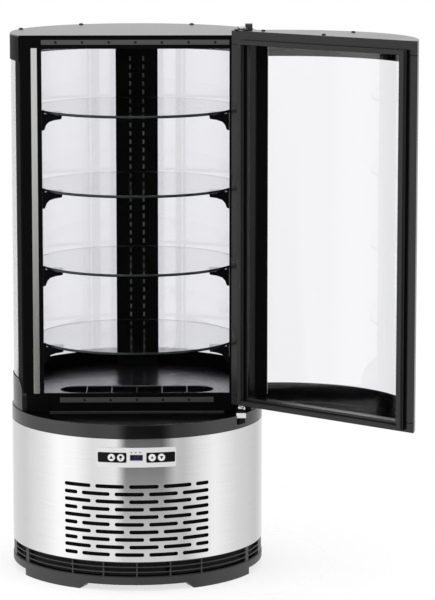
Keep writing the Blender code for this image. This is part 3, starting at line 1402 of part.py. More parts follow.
def smooth_round_pieces(build):
    for obj in build.parts.objects:
        if obj.type == "MESH" and not any(item.type == "SCREW" for item in obj.modifiers):
            obj.data.shade_smooth()
            obj.data.set_sharp_from_angle(angle=math.radians(25.0))


def main():
    clear_scene()
    build = Builder()
    make_plinth(build)
    make_base_pan(build)
    make_wrap(build)
    make_base_cover(build)
    make_controls(build)
    make_sill(build)
    make_door_frame(build)
    make_strips(build)
    make_collar(build)
    make_glazing(build)
    make_canopy(build)
    make_floor(build)
    make_tub(build)
    make_cold_set(build)
    make_column(build)
    make_shelves(build)
    make_light_bars(build)
    make_door_caps(build)
    make_stiles(build)
    make_door_pane(build)
    make_gasket(build)
    make_lower_hinge(build)
    make_upper_hinge(build)
    make_machinery(build)
    smooth_round_pieces(build)


if __name__ == "__main__":
    main()
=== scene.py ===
"""Looks of a round refrigerated cake display case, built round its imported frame.

The file is laid out as an add-on: sizes and colours are properties, each group of pieces is
an operator, and main() runs them in order. Metres, +Z up. Pieces of the case are drawn about
its upright axis with the front towards -Y, and angles round it are in degrees from the front
towards +X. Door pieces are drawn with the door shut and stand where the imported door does.
"""

import json
import math
from contextlib import contextmanager

import bmesh
import bpy
from mathutils import Matrix, Vector

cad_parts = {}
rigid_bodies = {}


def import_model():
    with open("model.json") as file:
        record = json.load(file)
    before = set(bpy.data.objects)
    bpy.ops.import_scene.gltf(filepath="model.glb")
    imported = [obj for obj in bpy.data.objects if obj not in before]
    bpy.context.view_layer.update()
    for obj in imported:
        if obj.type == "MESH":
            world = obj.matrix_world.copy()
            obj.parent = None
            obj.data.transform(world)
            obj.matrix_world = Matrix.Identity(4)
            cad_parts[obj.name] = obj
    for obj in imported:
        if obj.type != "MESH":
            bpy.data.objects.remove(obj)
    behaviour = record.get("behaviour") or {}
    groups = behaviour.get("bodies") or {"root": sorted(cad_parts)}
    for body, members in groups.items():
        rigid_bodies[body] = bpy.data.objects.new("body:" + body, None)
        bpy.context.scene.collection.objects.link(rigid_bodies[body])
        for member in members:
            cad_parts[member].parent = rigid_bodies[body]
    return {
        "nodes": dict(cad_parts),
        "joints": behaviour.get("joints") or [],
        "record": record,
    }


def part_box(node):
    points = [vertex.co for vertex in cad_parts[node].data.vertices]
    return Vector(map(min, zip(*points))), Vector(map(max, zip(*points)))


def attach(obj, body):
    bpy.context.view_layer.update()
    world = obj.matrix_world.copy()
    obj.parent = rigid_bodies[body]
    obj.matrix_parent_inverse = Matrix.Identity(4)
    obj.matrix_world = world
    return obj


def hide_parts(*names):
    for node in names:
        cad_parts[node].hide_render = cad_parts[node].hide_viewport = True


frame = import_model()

bl_info = {
    "name": "Cake display case",
    "version": (1, 0, 0),
    "blender": (4, 5, 0),
    "location": "View3D > Sidebar > Cake case",
    "description": "Finished pieces, materials and studio for a round cake display case",
    "category": "Object",
}

ARC_STEP = 1.5


# Places

def middle_of(node):
    low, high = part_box(node)
    return Vector(((low.x + high.x) / 2, (low.y + high.y) / 2, 0.0))


def door_range():
    """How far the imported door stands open, from its hinge's range."""
    for joint in frame["joints"]:
        if joint["name"] == "door_hinge":
            return -joint["range_deg"][0]
    raise RuntimeError("the packed record has no door_hinge joint")


CASE = Matrix.Translation(middle_of("base_cover"))
PIN = middle_of("lower_hinge_pin") - middle_of("base_cover")
OPEN = Matrix.Rotation(math.radians(door_range()), 4, "Z")
DOOR = CASE @ Matrix.Translation(PIN) @ OPEN @ Matrix.Translation(-PIN)


def span(node, place=CASE):
    """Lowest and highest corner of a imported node, in the case's or the shut door's coordinates."""
    back = place.inverted()
    points = [back @ vert.co for vert in frame["nodes"][node].data.vertices]
    low = Vector([min(point[axis] for point in points) for axis in range(3)])
    high = Vector([max(point[axis] for point in points) for axis in range(3)])
    return low, high


# Outlines, as lists of (x, y)

def on_arc(radius, angle):
    turn = math.radians(angle)
    return (radius * math.sin(turn), -radius * math.cos(turn))


def arc(radius, start, end):
    count = max(2, math.ceil(abs(end - start) / ARC_STEP))
    return [on_arc(radius, start + (end - start) * step / count) for step in range(count + 1)]


def along(radius, *angles):
    """How far round the case each angle is, on a sheet of this radius that lies flat."""
    return [math.radians(angle) * radius for angle in angles]


def angle_at(radius, y):
    return math.degrees(math.acos(-y / radius))


def d_shape(radius, chord_y):
    """A disc with its front cut off along a straight line."""
    start = angle_at(radius, chord_y)
    return arc(radius, start, 360.0 - start)


def segment(radius, chord_y):
    """What that line cuts off."""
    end = angle_at(radius, chord_y)
    return arc(radius, -end, end)


def rectangle(x_low, x_high, y_low, y_high):
    return [(x_low, y_low), (x_high, y_low), (x_high, y_high), (x_low, y_high)]


def rounded_rectangle(x_low, x_high, y_low, y_high, radius, steps=5):
    points = []
    corners = (
        (x_high - radius, y_low + radius, -90.0), (x_high - radius, y_high - radius, 0.0),
        (x_low + radius, y_high - radius, 90.0), (x_low + radius, y_low + radius, 180.0),
    )
    for x, y, first in corners:
        for step in range(steps + 1):
            turn = math.radians(first + 90.0 * step / steps)
            points.append((x + radius * math.cos(turn), y + radius * math.sin(turn)))
    return points


def circle(radius, x=0.0, y=0.0, sides=32):
    turns = [2 * math.pi * side / sides for side in range(sides)]
    return [(x + radius * math.cos(turn), y + radius * math.sin(turn)) for turn in turns]


def long_hole(length, height, x=0.0, y=0.0):
    """A slot with round ends, long in x."""
    half = length / 2
    return rounded_rectangle(x - half, x + half, y - height / 2, y + height / 2, height / 2 - 0.00001, 6)


def mirrored(points):
    return [(-x, y) for x, y in reversed(points)]


def eased(before, corner, after, size, steps=5):
    """A corner of an outline rounded off over this length each way."""
    corner = Vector(corner)
    start = corner + (Vector(before) - corner).normalized() * size
    end = corner + (Vector(after) - corner).normalized() * size
    points = []
    for step in range(steps + 1):
        part = step / steps
        point = start.lerp(corner, part).lerp(corner.lerp(end, part), part)
        points.append(tuple(point))
    return points


# Meshes

# Points nearer to each other than this are one point.
SAME_POINT = 0.000004
WELDED = 0.00001


@contextmanager
def edited(mesh):
    """The mesh, open for editing and written back after."""
    shape = bmesh.new()
    shape.from_mesh(mesh)
    yield shape
    shape.to_mesh(mesh)
    shape.free()


def flat_solid(loops, low, high):
    """Flat outlines drawn from low to high in z. A loop inside another is a hole."""
    curve = bpy.data.curves.new("outline", "CURVE")
    curve.dimensions = "2D"
    curve.fill_mode = "BOTH"
    curve.extrude = (high - low) / 2
    for loop in loops:
        spline = curve.splines.new("POLY")
        spline.points.add(len(loop) - 1)
        spline.use_cyclic_u = True
        for point, (x, y) in zip(spline.points, loop):
            point.co = (x, y, 0.0, 1.0)
    holder = bpy.data.objects.new("outline", curve)
    bpy.context.scene.collection.objects.link(holder)
    graph = bpy.context.evaluated_depsgraph_get()
    mesh = bpy.data.meshes.new_from_object(holder.evaluated_get(graph))
    bpy.data.objects.remove(holder, do_unlink=True)
    bpy.data.curves.remove(curve)
    with edited(mesh) as shape:
        bmesh.ops.remove_doubles(shape, verts=shape.verts, dist=SAME_POINT)
        bmesh.ops.translate(shape, verts=shape.verts, vec=(0.0, 0.0, (low + high) / 2))
        bmesh.ops.recalc_face_normals(shape, faces=shape.faces)
    return mesh


def mark_edges(shape, angle=30.0):
    """Smooth faces, and sharp edges where two faces meet at more than this angle."""
    for face in shape.faces:
        face.smooth = True
    for edge in shape.edges:
        edge.smooth = len(edge.link_faces) == 2 and edge.calc_face_angle(0.0) < math.radians(angle)


def plate(loops, low, high):
    """A flat solid with one face on each side."""
    mesh = flat_solid(loops, low, high)
    with edited(mesh) as shape:
        bmesh.ops.dissolve_limit(shape, angle_limit=0.0001, verts=shape.verts, edges=shape.edges)
        mark_edges(shape)
    return mesh


def bar(x_low, x_high, y_low, y_high, z_low, z_high):
    """A straight bar or block, with square ends."""
    return plate([rectangle(x_low, x_high, y_low, y_high)], z_low, z_high)


def level(edge, pitch):
    """Whether an edge of a flat sheet is of no use: level in depth, and on none of the lines it bends at."""
    first, second = (vert.co for vert in edge.verts)
    across = abs(first.x - second.x) > SAME_POINT
    off_line = abs(first.x / pitch - round(first.x / pitch)) > 0.001
    return edge.smooth and abs(first.z - second.z) < SAME_POINT and (across or off_line)


def rolled(loops, radius, thickness):
    """A sheet with its holes, drawn flat as (distance round the case, height), rolled to a radius.

    Its UV map keeps the flat sheet's metres, so that grain and print follow the sheet.
    """
    mesh = flat_solid(loops, -thickness, 0.0)
    with edited(mesh) as shape:
        pitch = math.radians(ARC_STEP) * radius
        places = [vert.co.x / pitch for vert in shape.verts]
        for line in range(math.ceil(min(places) + 0.02), math.floor(max(places) - 0.02) + 1):
            everything = shape.verts[:] + shape.edges[:] + shape.faces[:]
            place = (line * pitch, 0.0, 0.0)
            bmesh.ops.bisect_plane(
                shape, geom=everything, dist=0.000002, plane_co=place, plane_no=(1.0, 0.0, 0.0)
            )
        shape.normal_update()
        mark_edges(shape)
        spare = [edge for edge in shape.edges if level(edge, pitch)]
        bmesh.ops.dissolve_edges(shape, edges=spare, use_verts=False)
        flat = shape.loops.layers.uv.new("flat")
        for face in shape.faces:
            for loop in face.loops:
                loop[flat].uv = (loop.vert.co.x, loop.vert.co.y)
        for vert in shape.verts:
            distance, height, depth = vert.co
            vert.co = (*on_arc(radius + depth, math.degrees(distance / radius)), height)
        bmesh.ops.recalc_face_normals(shape, faces=shape.faces)
    return mesh


def bridge(shape, rings, closed=True):
    """Faces between each ring of points and the next. Where a ring is one point, they are triangles."""
    for near, far in zip(rings, rings[1:]):
        for place in range(len(near) if closed else len(near) - 1):
            after = (place + 1) % len(near)
            corners = dict.fromkeys((near[place], near[after], far[after], far[place]))
            if len(corners) > 2:
                shape.faces.new(list(corners))


def turned(profile, closed, steps=round(360.0 / ARC_STEP)):
    """A profile of (radius, z) turned round the z axis. An open profile starts and ends on the axis."""
    mesh = bpy.data.meshes.new("turned")
    with edited(mesh) as shape:
        rings = []
        for radius, z in profile:
            if radius < 0.000001:
                rings.append([shape.verts.new((0.0, 0.0, z))] * steps)
                continue
            angles = [360.0 * step / steps for step in range(steps)]
            rings.append([shape.verts.new((*on_arc(radius, angle), z)) for angle in angles])
        bridge(shape, rings + rings[:1] if closed else rings)
        bmesh.ops.recalc_face_normals(shape, faces=shape.faces)
        mark_edges(shape)
    return mesh


def placed(mesh, matrix):
    mesh.transform(matrix)
    mesh.update()
    return mesh


def carved(mesh, other, operation="DIFFERENCE"):
    """The mesh with another taken away from it or added to it."""
    objects = [bpy.data.objects.new("carved", part) for part in (mesh, other)]
    for obj in objects:
        bpy.context.scene.collection.objects.link(obj)
    cut = objects[0].modifiers.new("carve", "BOOLEAN")
    cut.operation = operation
    cut.solver = "EXACT"
    cut.object = objects[1]
    graph = bpy.context.evaluated_depsgraph_get()
    result = bpy.data.meshes.new_from_object(objects[0].evaluated_get(graph))
    for obj in objects:
        bpy.data.objects.remove(obj, do_unlink=True)
    with edited(result) as shape:
        bmesh.ops.remove_doubles(shape, verts=shape.verts, dist=WELDED)
        bmesh.ops.dissolve_limit(shape, angle_limit=0.0005, verts=shape.verts, edges=shape.edges)
        mark_edges(shape)
    return result


def two_tone(mesh, first, second, takes_second):
    """Gives the mesh two finishes: the second goes to the faces for which takes_second holds."""
    mesh.materials.append(first)
    mesh.materials.append(second)
    for polygon in mesh.polygons:
        polygon.material_index = int(takes_second(polygon))
    return mesh


UPRIGHT = Matrix.Rotation(math.radians(90.0), 4, "X")


def facing_out(angle, height, radius):
    """The matrix that stands a flat outline upright, facing out at this angle round the case."""
    turn = Matrix.Rotation(math.radians(angle), 4, "Z")
    return Matrix.Translation((*on_arc(radius, angle), height)) @ turn @ UPRIGHT


# Pieces

def piece(name, mesh, material, body="cabinet", slot=None, stands_for=(), place=CASE, ease=0.0, **easing):
    """A shown piece: it rides on a body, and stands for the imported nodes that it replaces."""
    mesh.name = name
    obj = bpy.data.objects.new(name, placed(mesh, place))
    bpy.context.scene.collection.objects.link(obj)
    if not mesh.materials:
        mesh.materials.append(material)
    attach(obj, body)
    if stands_for:
        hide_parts(*stands_for)
    if ease:
        ease_edges(obj, ease, **easing)
    return obj


def ease_edges(obj, width, segments=2, angle=30.0, clamp=True):
    """Rounds the edges of a piece and keeps its broad faces evenly shaded."""
    for polygon in obj.data.polygons:
        polygon.use_smooth = True
    bevel = obj.modifiers.new("eased_edges", "BEVEL")
    bevel.width = width
    bevel.segments = segments
    bevel.limit_method = "ANGLE"
    bevel.angle_limit = math.radians(angle)
    bevel.use_clamp_overlap = clamp
    bevel.miter_outer = "MITER_ARC"
    normals = obj.modifiers.new("even_shading", "WEIGHTED_NORMAL")
    normals.keep_sharp = False


def dress_node(name, material, width=0.0004):
    """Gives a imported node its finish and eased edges, with its mesh as packed."""
    obj = frame["nodes"][name]
    obj.data.materials.clear()
    obj.data.materials.append(material)
    weld = obj.modifiers.new("weld", "WELD")
    weld.merge_threshold = WELDED
    ease_edges(obj, width, angle=32.0)


# Materials

def linear(hex_colour):
    """An sRGB hex colour as the linear colour that Blender keeps."""
    shares = [int(hex_colour[start:start + 2], 16) / 255 for start in (0, 2, 4)]
    return tuple(share / 12.92 if share <= 0.04045 else ((share + 0.055) / 1.055) ** 2.4 for share in shares)


def add_node(owner, kind, inputs=None, **settings):
    """Adds a node with its settings. Each input is a value, or a socket that is linked to it."""
    node = owner.node_tree.nodes.new(kind)
    for key, value in settings.items():
        setattr(node, key, value)
    for key, value in (inputs or {}).items():
        if isinstance(value, bpy.types.NodeSocket):
            owner.node_tree.links.new(value, node.inputs[key])
        else:
            node.inputs[key].default_value = value
    return node


def worked_out(owner, operation, first, second):
    """The result of a sum on two values or sockets."""
    return add_node(owner, "ShaderNodeMath", {0: first, 1: second}, operation=operation).outputs[0]


def shader_of(material):
    return material.node_tree.nodes["Principled BSDF"]


def feed(material, key, source):
    """Links a socket to the shader's input of this name."""
    material.node_tree.links.new(source, shader_of(material).inputs[key])


def new_finish(name, colour, roughness, **sockets):
    """A Principled material of this colour. Its other sockets are named with _ for a space."""
    material = bpy.data.materials.new(name)
    material.use_nodes = True
    inputs = shader_of(material).inputs
    inputs["Base Color"].default_value = (*colour, 1.0)
    inputs["Roughness"].default_value = roughness
    for key, value in sockets.items():
        inputs[key.replace("_", " ")].default_value = value
    return material


def spread(owner, source, low, high, **more):
    """A value from 0 to 1 spread over a range."""
    inputs = {"Value": source, "To Min": low, "To Max": high}
    return add_node(owner, "ShaderNodeMapRange", inputs, **more).outputs["Result"]


def over_object(material):
    """The object's own metres."""
    return add_node(material, "ShaderNodeTexCoord").outputs["Object"]


def over_sheet(material):
    """The metres of a rolled sheet, as it lay flat."""
    return add_node(material, "ShaderNodeUVMap", uv_map="flat").outputs["UV"]


def noise(material, scale, detail, over=over_object, stretch=None, distortion=0.0):
    """A cloudy pattern with this many lumps to the metre, or stretched by a number for each axis."""
    vector = over(material)
    if stretch:
        mapping = add_node(material, "ShaderNodeMapping", {"Vector": vector, "Scale": stretch})
        vector = mapping.outputs["Vector"]
    inputs = {"Vector": vector, "Scale": scale, "Detail": detail, "Distortion": distortion}
    return add_node(material, "ShaderNodeTexNoise", inputs).outputs["Fac"]


def vary(material, pattern, shades=None, roughness=None, relief=None, also=()):
    """Lets a pattern vary a finish.

    shades are factors on its colour, roughness is a range, and relief is a bump's strength and depth.
    """
    if shades:
        colour = shader_of(material).inputs["Base Color"].default_value[:3]
        ramp = add_node(material, "ShaderNodeValToRGB", {"Fac": pattern})
        for element, position, factor in zip(ramp.color_ramp.elements, (0.3, 0.7), shades):
            element.position = position
            element.color = (*(min(1.0, share * factor) for share in colour), 1.0)
        feed(material, "Base Color", ramp.outputs["Color"])
    if roughness:
        feed(material, "Roughness", spread(material, pattern, *roughness))
    if relief:
        inputs = {"Height": pattern, "Strength": relief[0], "Distance": relief[1]}
        bump = add_node(material, "ShaderNodeBump", inputs)
        for key in ("Normal", *also):
            feed(material, key, bump.outputs["Normal"])
    return material


def show_mix(material, factor, first, second):
    """Shows the first shader where the factor is 0 and the second where it is 1."""
    mix = add_node(material, "ShaderNodeMixShader", {"Fac": factor, 1: first, 2: second})
    output = material.node_tree.nodes["Material Output"]
    material.node_tree.links.new(mix.outputs["Shader"], output.inputs["Surface"])


def brushed_stainless(colour):
    """Stainless sheet, grade 304, brushed along its length with a fine belt and rolled round the base.

    The grain runs round the case, so highlights stretch upright into tall soft bands. Belt lines
    are about 0.1 mm apart, drawn at 1 mm to show at all.
    """
    material = new_finish(
        "brushed_stainless", colour, 0.14, Metallic=1.0, Anisotropic=0.8, Anisotropic_Rotation=0.25
    )
    grain = noise(material, 1.0, 3.0, over_sheet, (14.0, 1000.0, 1.0))
    broad = noise(material, 1.0, 2.0, over_sheet, (3.0, 30.0, 1.0))
    vary(material, grain, shades=(0.97, 1.03), relief=(0.02, 0.00005))
    vary(material, broad, roughness=(0.125, 0.155))
    tangent = add_node(material, "ShaderNodeTangent", direction_type="UV_MAP", uv_map="flat")
    feed(material, "Tangent", tangent.outputs["Tangent"])
    return material


def drawn_steel(name, colour, roughness, across):
    """Cold-rolled steel strip, polished along its length: fine lines one way, 0.8 mm apart to show."""
    material = new_finish(name, colour, roughness, Metallic=1.0, Anisotropic=0.4)
    grain = noise(material, 1.0, 2.0, stretch=across)
    return vary(material, grain, (0.94, 1.05), (roughness - 0.05, roughness + 0.06))


def moulded_plastic(name, colour, roughness, grain_size, depth=0.00003, **sockets):
    """ABS, injection moulded in a lightly sparked tool: even colour, a fine grain and a soft sheen."""
    material = new_finish(name, colour, roughness, **sockets)
    vary(material, noise(material, 18.0, 2.0), (0.92, 1.08), (roughness - 0.03, roughness + 0.04))
    return vary(material, noise(material, 1.0 / grain_size, 2.0), relief=(0.25, depth))


def sprayed_enamel(colour):
    """Sheet steel, sprayed with black stoving enamel: deep gloss with a faint orange peel 3 mm across."""
    material = new_finish("sprayed_enamel", colour, 0.30, Coat_Weight=0.3, Coat_Roughness=0.12)
    peel = noise(material, 330.0, 1.0)
    return vary(material, peel, None, (0.26, 0.34), (0.12, 0.00002), also=["Coat Normal"])


def annealed_floor(colour):
    """Stainless sheet with a bright annealed face, much wiped: a soft mirror with faint swirls."""
    material = new_finish("annealed_floor", colour, 0.25, Metallic=1.0)
    return vary(material, noise(material, 26.0, 4.0, distortion=1.5), (0.95, 1.04), (0.2, 0.3))


def float_glass(colour):
    """Clear float glass: a hard mirror gloss, next to no colour face on, and lamps shine through it."""
    material = new_finish("float_glass", colour, 0.0, Transmission_Weight=1.0, IOR=1.5)
    path = add_node(material, "ShaderNodeLightPath")
    clear = add_node(material, "ShaderNodeBsdfTransparent", {"Color": (*colour, 1.0)})
    smear = add_node(material, "ShaderNodeTexNoise", {"Scale": 9.0, "Detail": 3.0})
    vary(material, smear.outputs["Fac"], roughness=(0.0, 0.02))
    show_mix(
        material, path.outputs["Is Shadow Ray"], shader_of(material).outputs["BSDF"], clear.outputs["BSDF"]
    )
    return material


def ground_edge(colour):
    """The shelf's edge, ground and polished: seen along the sheet, where the glass's iron shows green."""
    material = new_finish("ground_edge", colour, 0.22, Transmission_Weight=0.35, IOR=1.5)
    return vary(material, noise(material, 700.0, 2.0), roughness=(0.15, 0.30))


def silver_foil(colour):
    """Polyester overlay, back printed in silver ink and embossed satin: pale metallic grey, barely glossy."""
    material = new_finish("silver_foil", colour, 0.42, Metallic=0.1)
    return vary(material, noise(material, 1400.0, 2.0, over_sheet), (0.93, 1.05), (0.32, 0.44))


def smoked_window(colour):
    """Smoked acrylic, cast and polished, over an unlit display: near black with a violet cast."""
    material = new_finish("smoked_window", colour, 0.12, Coat_Weight=0.6, Coat_Roughness=0.04)
    return vary(material, noise(material, 160.0, 1.0), (0.8, 1.25))


def opal_cover(colour):
    """Opal polycarbonate, extruded over a strip of white diodes: milky, even and faintly lit."""
    material = new_finish("opal_cover", colour, 0.35, Emission_Color=(*colour, 1.0), Emission_Strength=0.35)
    return vary(material, noise(material, 60.0, 1.0), roughness=(0.30, 0.42))


def bright_chrome(colour):
    """Turned steel, chromium plated: a clean mirror with faint turning marks 0.5 mm apart."""
    material = new_finish("bright_chrome", colour, 0.12, Metallic=1.0)
    return vary(material, noise(material, 1.0, 1.0, stretch=(60.0, 60.0, 2000.0)), roughness=(0.08, 0.18))


def fin_stock(colour):
    """Aluminium fin stock, stamped and stacked: bright narrow lines, 2 mm apart, with painted shade for the
    dark gaps between the fins.
    """
    material = new_finish("fin_stock", colour, 0.42, Metallic=1.0)
    inputs = {"Vector": over_object(material), "Scale": 157.0}
    fins = add_node(material, "ShaderNodeTexWave", inputs, bands_direction="X")
    # The dark bands are painted shade for the gaps between the fins.
    return vary(material, fins.outputs["Fac"], (0.25, 1.0), relief=(0.6, 0.0008))


def printed_ink(name, colour):
    """Screen ink, printed and cured: a flat, dry film with slightly uneven cover."""
    material = new_finish(name, colour, 0.45, Specular_IOR_Level=0.15)
    return vary(material, noise(material, 900.0, 1.0), roughness=(0.38, 0.52))


class Finishes:
    """Every finish on the case, made once."""

    def __init__(self, colours):
        self.stainless = brushed_stainless(colours.stainless)
        self.side_strip = drawn_steel("polished_strip", colours.strip, 0.2, (1200.0, 1200.0, 20.0))
        # The strips over and under the opening are the side strips' steel drawn darker: painted shade.
        self.shaded_cross_strip = drawn_steel("shaded_dull_strip", colours.shaded_cross_strip, 0.42, (20.0, 1200.0, 1200.0))
        # ABS with a polished tool face: nearly black, glossy enough to pick up pale streaks.
        self.black = moulded_plastic("black_abs", colours.black, 0.2, 0.0009, Specular_IOR_Level=0.42)
        # ABS moulded in a mirror tool: the wettest black on the case, bright where it turns away.
        self.polished = moulded_plastic(
            "polished_abs", colours.matt, 0.16, 0.0009, 0.00001, Specular_IOR_Level=0.75
        )
        # Extruded aluminium, powder coated matt black: soaks up light, with barely a sheen. On the collar's
        # inner wall and the canopy's skirt it is painted shade.
        self.matt = moulded_plastic("matt_powder_coat", colours.matt, 0.5, 0.0008, Specular_IOR_Level=0.06)
        # Talc-filled ABS, moulded with a coarser grain: charcoal and rather dull.
        self.charcoal = moulded_plastic("charcoal_abs", colours.charcoal, 0.38, 0.0012, 0.00005)
        # Soft PVC, extruded: dull black, gives at the lip and shows dust.
        self.gasket = moulded_plastic("extruded_pvc", colours.gasket, 0.55, 0.0015)
        # White ABS, moulded: clean with a low sheen.
        self.keycap = moulded_plastic("keycap_abs", colours.keycap, 0.38, 0.0006)
        # Natural nylon, moulded: milky and waxy.
        self.nylon = moulded_plastic("natural_nylon", colours.nylon, 0.35, 0.001)
        # High-impact polystyrene, vacuum formed: mid grey with a waxy sheen.
        self.tub = moulded_plastic("formed_polystyrene", colours.tub, 0.42, 0.002)
        # Steel can, dipped in black paint: slightly rough.
        self.can = moulded_plastic("dipped_paint", colours.can, 0.46, 0.0012)
        # Steel and fin stock dipped in black primer, and partly painted shade: dull so that nothing shines
        # behind the slots.
        self.coil_paint_and_shade = moulded_plastic(
            "black_primer_and_shade", colours.coil_paint_and_shade, 0.6, 0.0012, Specular_IOR_Level=0.2
        )
        # Painted shade: a near-black, very dull sheet behind the wrap's slots, drawn like open-cell foam of
        # 30 pores to the inch.
        self.filter = moulded_plastic(
            "painted_shade_foam", colours.coil_paint_and_shade, 0.9, 0.0009, 0.0006, Specular_IOR_Level=0.1
        )
        # Closed-cell foam sheet, skived: pale and quite dull.
        self.liner = moulded_plastic("foam_liner", colours.liner, 0.7, 0.0016)
        self.enamel = sprayed_enamel(colours.enamel)
        self.floor = annealed_floor(colours.floor_steel)
        self.glass = float_glass(colours.glass)
        self.edge = ground_edge(colours.glass_edge)
        self.foil = silver_foil(colours.foil)
        self.window = smoked_window(colours.display)
        self.opal = opal_cover(colours.diffuser)
        self.chrome = bright_chrome(colours.chrome)
        self.fins = fin_stock(colours.fins)
        self.black_ink = printed_ink("black_ink", colours.black)
        self.faint_ink = printed_ink("unlit_segments", colours.segments)
        self.screw = drawn_steel("blackened_screw", colours.screw, 0.38, (900.0, 900.0, 900.0))


FINISHES = {}


def finishes():
    """The finishes, made on first use from the scene's colours."""
    if "case" not in FINISHES:
        FINISHES["case"] = Finishes(bpy.context.scene.cake_case_colours)
    return FINISHES["case"]


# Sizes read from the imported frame

BODY_RADIUS, _, RIM_TOP = span("base_cover")[1]
WRAP_LOW, WRAP_HIGH = (corner.z for corner in span("steel_wrap"))
CABINET_RADIUS, _, CANOPY_TOP = span("canopy")[1]
CANOPY_LOW = span("canopy")[0].z
COLLAR_LOW, COLLAR_HIGH = (corner.z for corner in span("collar"))
FRAME_FRONT = span("door_frame")[0].y
POST_TOP = span("door_frame")[1].z
_, SILL_REAR, SILL_TOP = span("sill")[1]
OPENING_HALF = span("strip_top")[1].x
DOOR_FACE = span("door_top_cap", DOOR)[1].y
DOOR_LOW, SKIRT_LOW = (corner.z for corner in span("door_bottom_cap", DOOR))
SKIRT_HIGH, DOOR_HIGH = (corner.z for corner in span("door_top_cap", DOOR))
STILE_INNER, _, STILE_LOW = span("door_hinge_stile", DOOR)[0]
STILE_HIGH = span("door_hinge_stile", DOOR)[1].z

# What the frame doesn't give: clearances, and the thickness of sheet, glass and mouldings.
GAP = 0.0003
RIM_WIDTH = 0.0045
SHEET_WALL = 0.0012
COLLAR_WALL = 0.0075
COLLAR_LEDGE = COLLAR_HIGH - 0.013
PANE_OUTER = 0.004
PANE_INNER = 0.003
PANE_SPACE = 0.0048
PANE_RADIUS = CABINET_RADIUS - SHEET_WALL - GAP
PANE_INSIDE = PANE_RADIUS - PANE_OUTER - PANE_SPACE - PANE_INNER
POST_DEPTH = 0.0218
POST_REAR = FRAME_FRONT + POST_DEPTH
COLLAR_INSIDE = CABINET_RADIUS - COLLAR_WALL
FRONT_PLANE = FRAME_FRONT + 0.0006


def length_property(name, description, default):
    return bpy.props.FloatProperty(name=name, description=description, default=default, unit="LENGTH")


class CaseSizes(bpy.types.PropertyGroup):
    slot_length: length_property("Slot length", "Length of a long slot in the steel wrap", 0.0515)
    half_slot_length: length_property(
        "Half slot length", "Length of the short slot that ends each row", 0.026
    )
    slot_height: length_property("Slot height", "Height of each slot", 0.0067)
    slot_gap: length_property("Slot gap", "Steel left between two slots of a row", 0.0087)
    row_pitch: length_property("Row pitch", "From one row of slots to the next", 0.01347)
    edge_round: length_property("Moulded edge", "Radius on the edges of moulded pieces", 0.0009)
    screw_pitch: length_property("Screw pitch", "From one strip screw to the next", 0.0463)
    corner_length: length_property("Collar corner", "How far back the collar's rounded corner reaches", 0.022)
    corner_height: length_property("Corner height", "How far down the collar's rounded corner reaches", 0.032)


def colour_property(name, description, hex_colour):
    return bpy.props.FloatVectorProperty(
        name=name, description=description, default=linear(hex_colour), subtype="COLOR", min=0.0, max=1.0
    )


class CaseColours(bpy.types.PropertyGroup):
    stainless: colour_property("Brushed steel", "The slotted wrap", "E4E4E5")
    strip: colour_property("Side strips", "Polished steel strips beside the opening", "D2D2D0")
    # Darker than the side strips as painted shade; the steel is the same.
    shaded_cross_strip: colour_property("Cross strips", "Duller strips over and under the opening", "5E5E5E")
    black: colour_property("Black plastic", "Base cover, collar, door and column", "070708")
    # On the canopy's skirt and the collar's inner wall this colour is painted shade.
    matt: colour_property("Matt black", "Posts, header, sill and canopy skirt", "040405")
    charcoal: colour_property("Charcoal plastic", "Plinth and feet", "2B2B2C")
    gasket: colour_property("Door seal", "Extruded seal", "1A1A1B")
    keycap: colour_property("Keycap", "Round buttons", "ECECEC")
    tub: colour_property("Tub", "Evaporator tub under the floor", "6A6C6E")
    can: colour_property("Compressor", "Painted can", "17171A")
    enamel: colour_property("Canopy enamel", "Sprayed canopy and upper hinge", "08080A")
    floor_steel: colour_property("Floor steel", "Cabinet floor", "8E8E92")
    glass: colour_property("Glass", "Panes and shelves", "F4F4F6")
    glass_edge: colour_property("Glass edge", "Ground edges of the shelves", "12261F")
    foil: colour_property("Panel foil", "Silver overlay", "E2E2E3")
    display: colour_property("Display", "Smoked window", "17132E")
    segments: colour_property("Segments", "Unlit display segments", "4B4870")
    diffuser: colour_property("Light bars", "Opal covers", "F3F3EE")
    chrome: colour_property("Chrome", "Hinge pins", "D9D9DB")
    fins: colour_property("Fins", "Coil fins", "C5C6C8")
    # Partly painted shade: black kept on everything behind the slots so that they read dark.
    coil_paint_and_shade: colour_property("Coil paint", "Dipped condenser and its shroud", "101011")
    liner: colour_property("Duct liner", "Foam sheet inside the air column", "B4B4B6")
    nylon: colour_property("Nylon", "Clip on the lower hinge", "E2E2E0")
    screw: colour_property("Screws", "Blackened screw heads", "2A2A2B")


class CaseOperator(bpy.types.Operator):
    """What every step of the case shares"""

    bl_options = {"REGISTER", "UNDO"}

    @classmethod
    def poll(cls, context):
        return context.scene is not None

    def execute(self, context):
        self.build(context.scene)
        return {"FINISHED"}


# Base

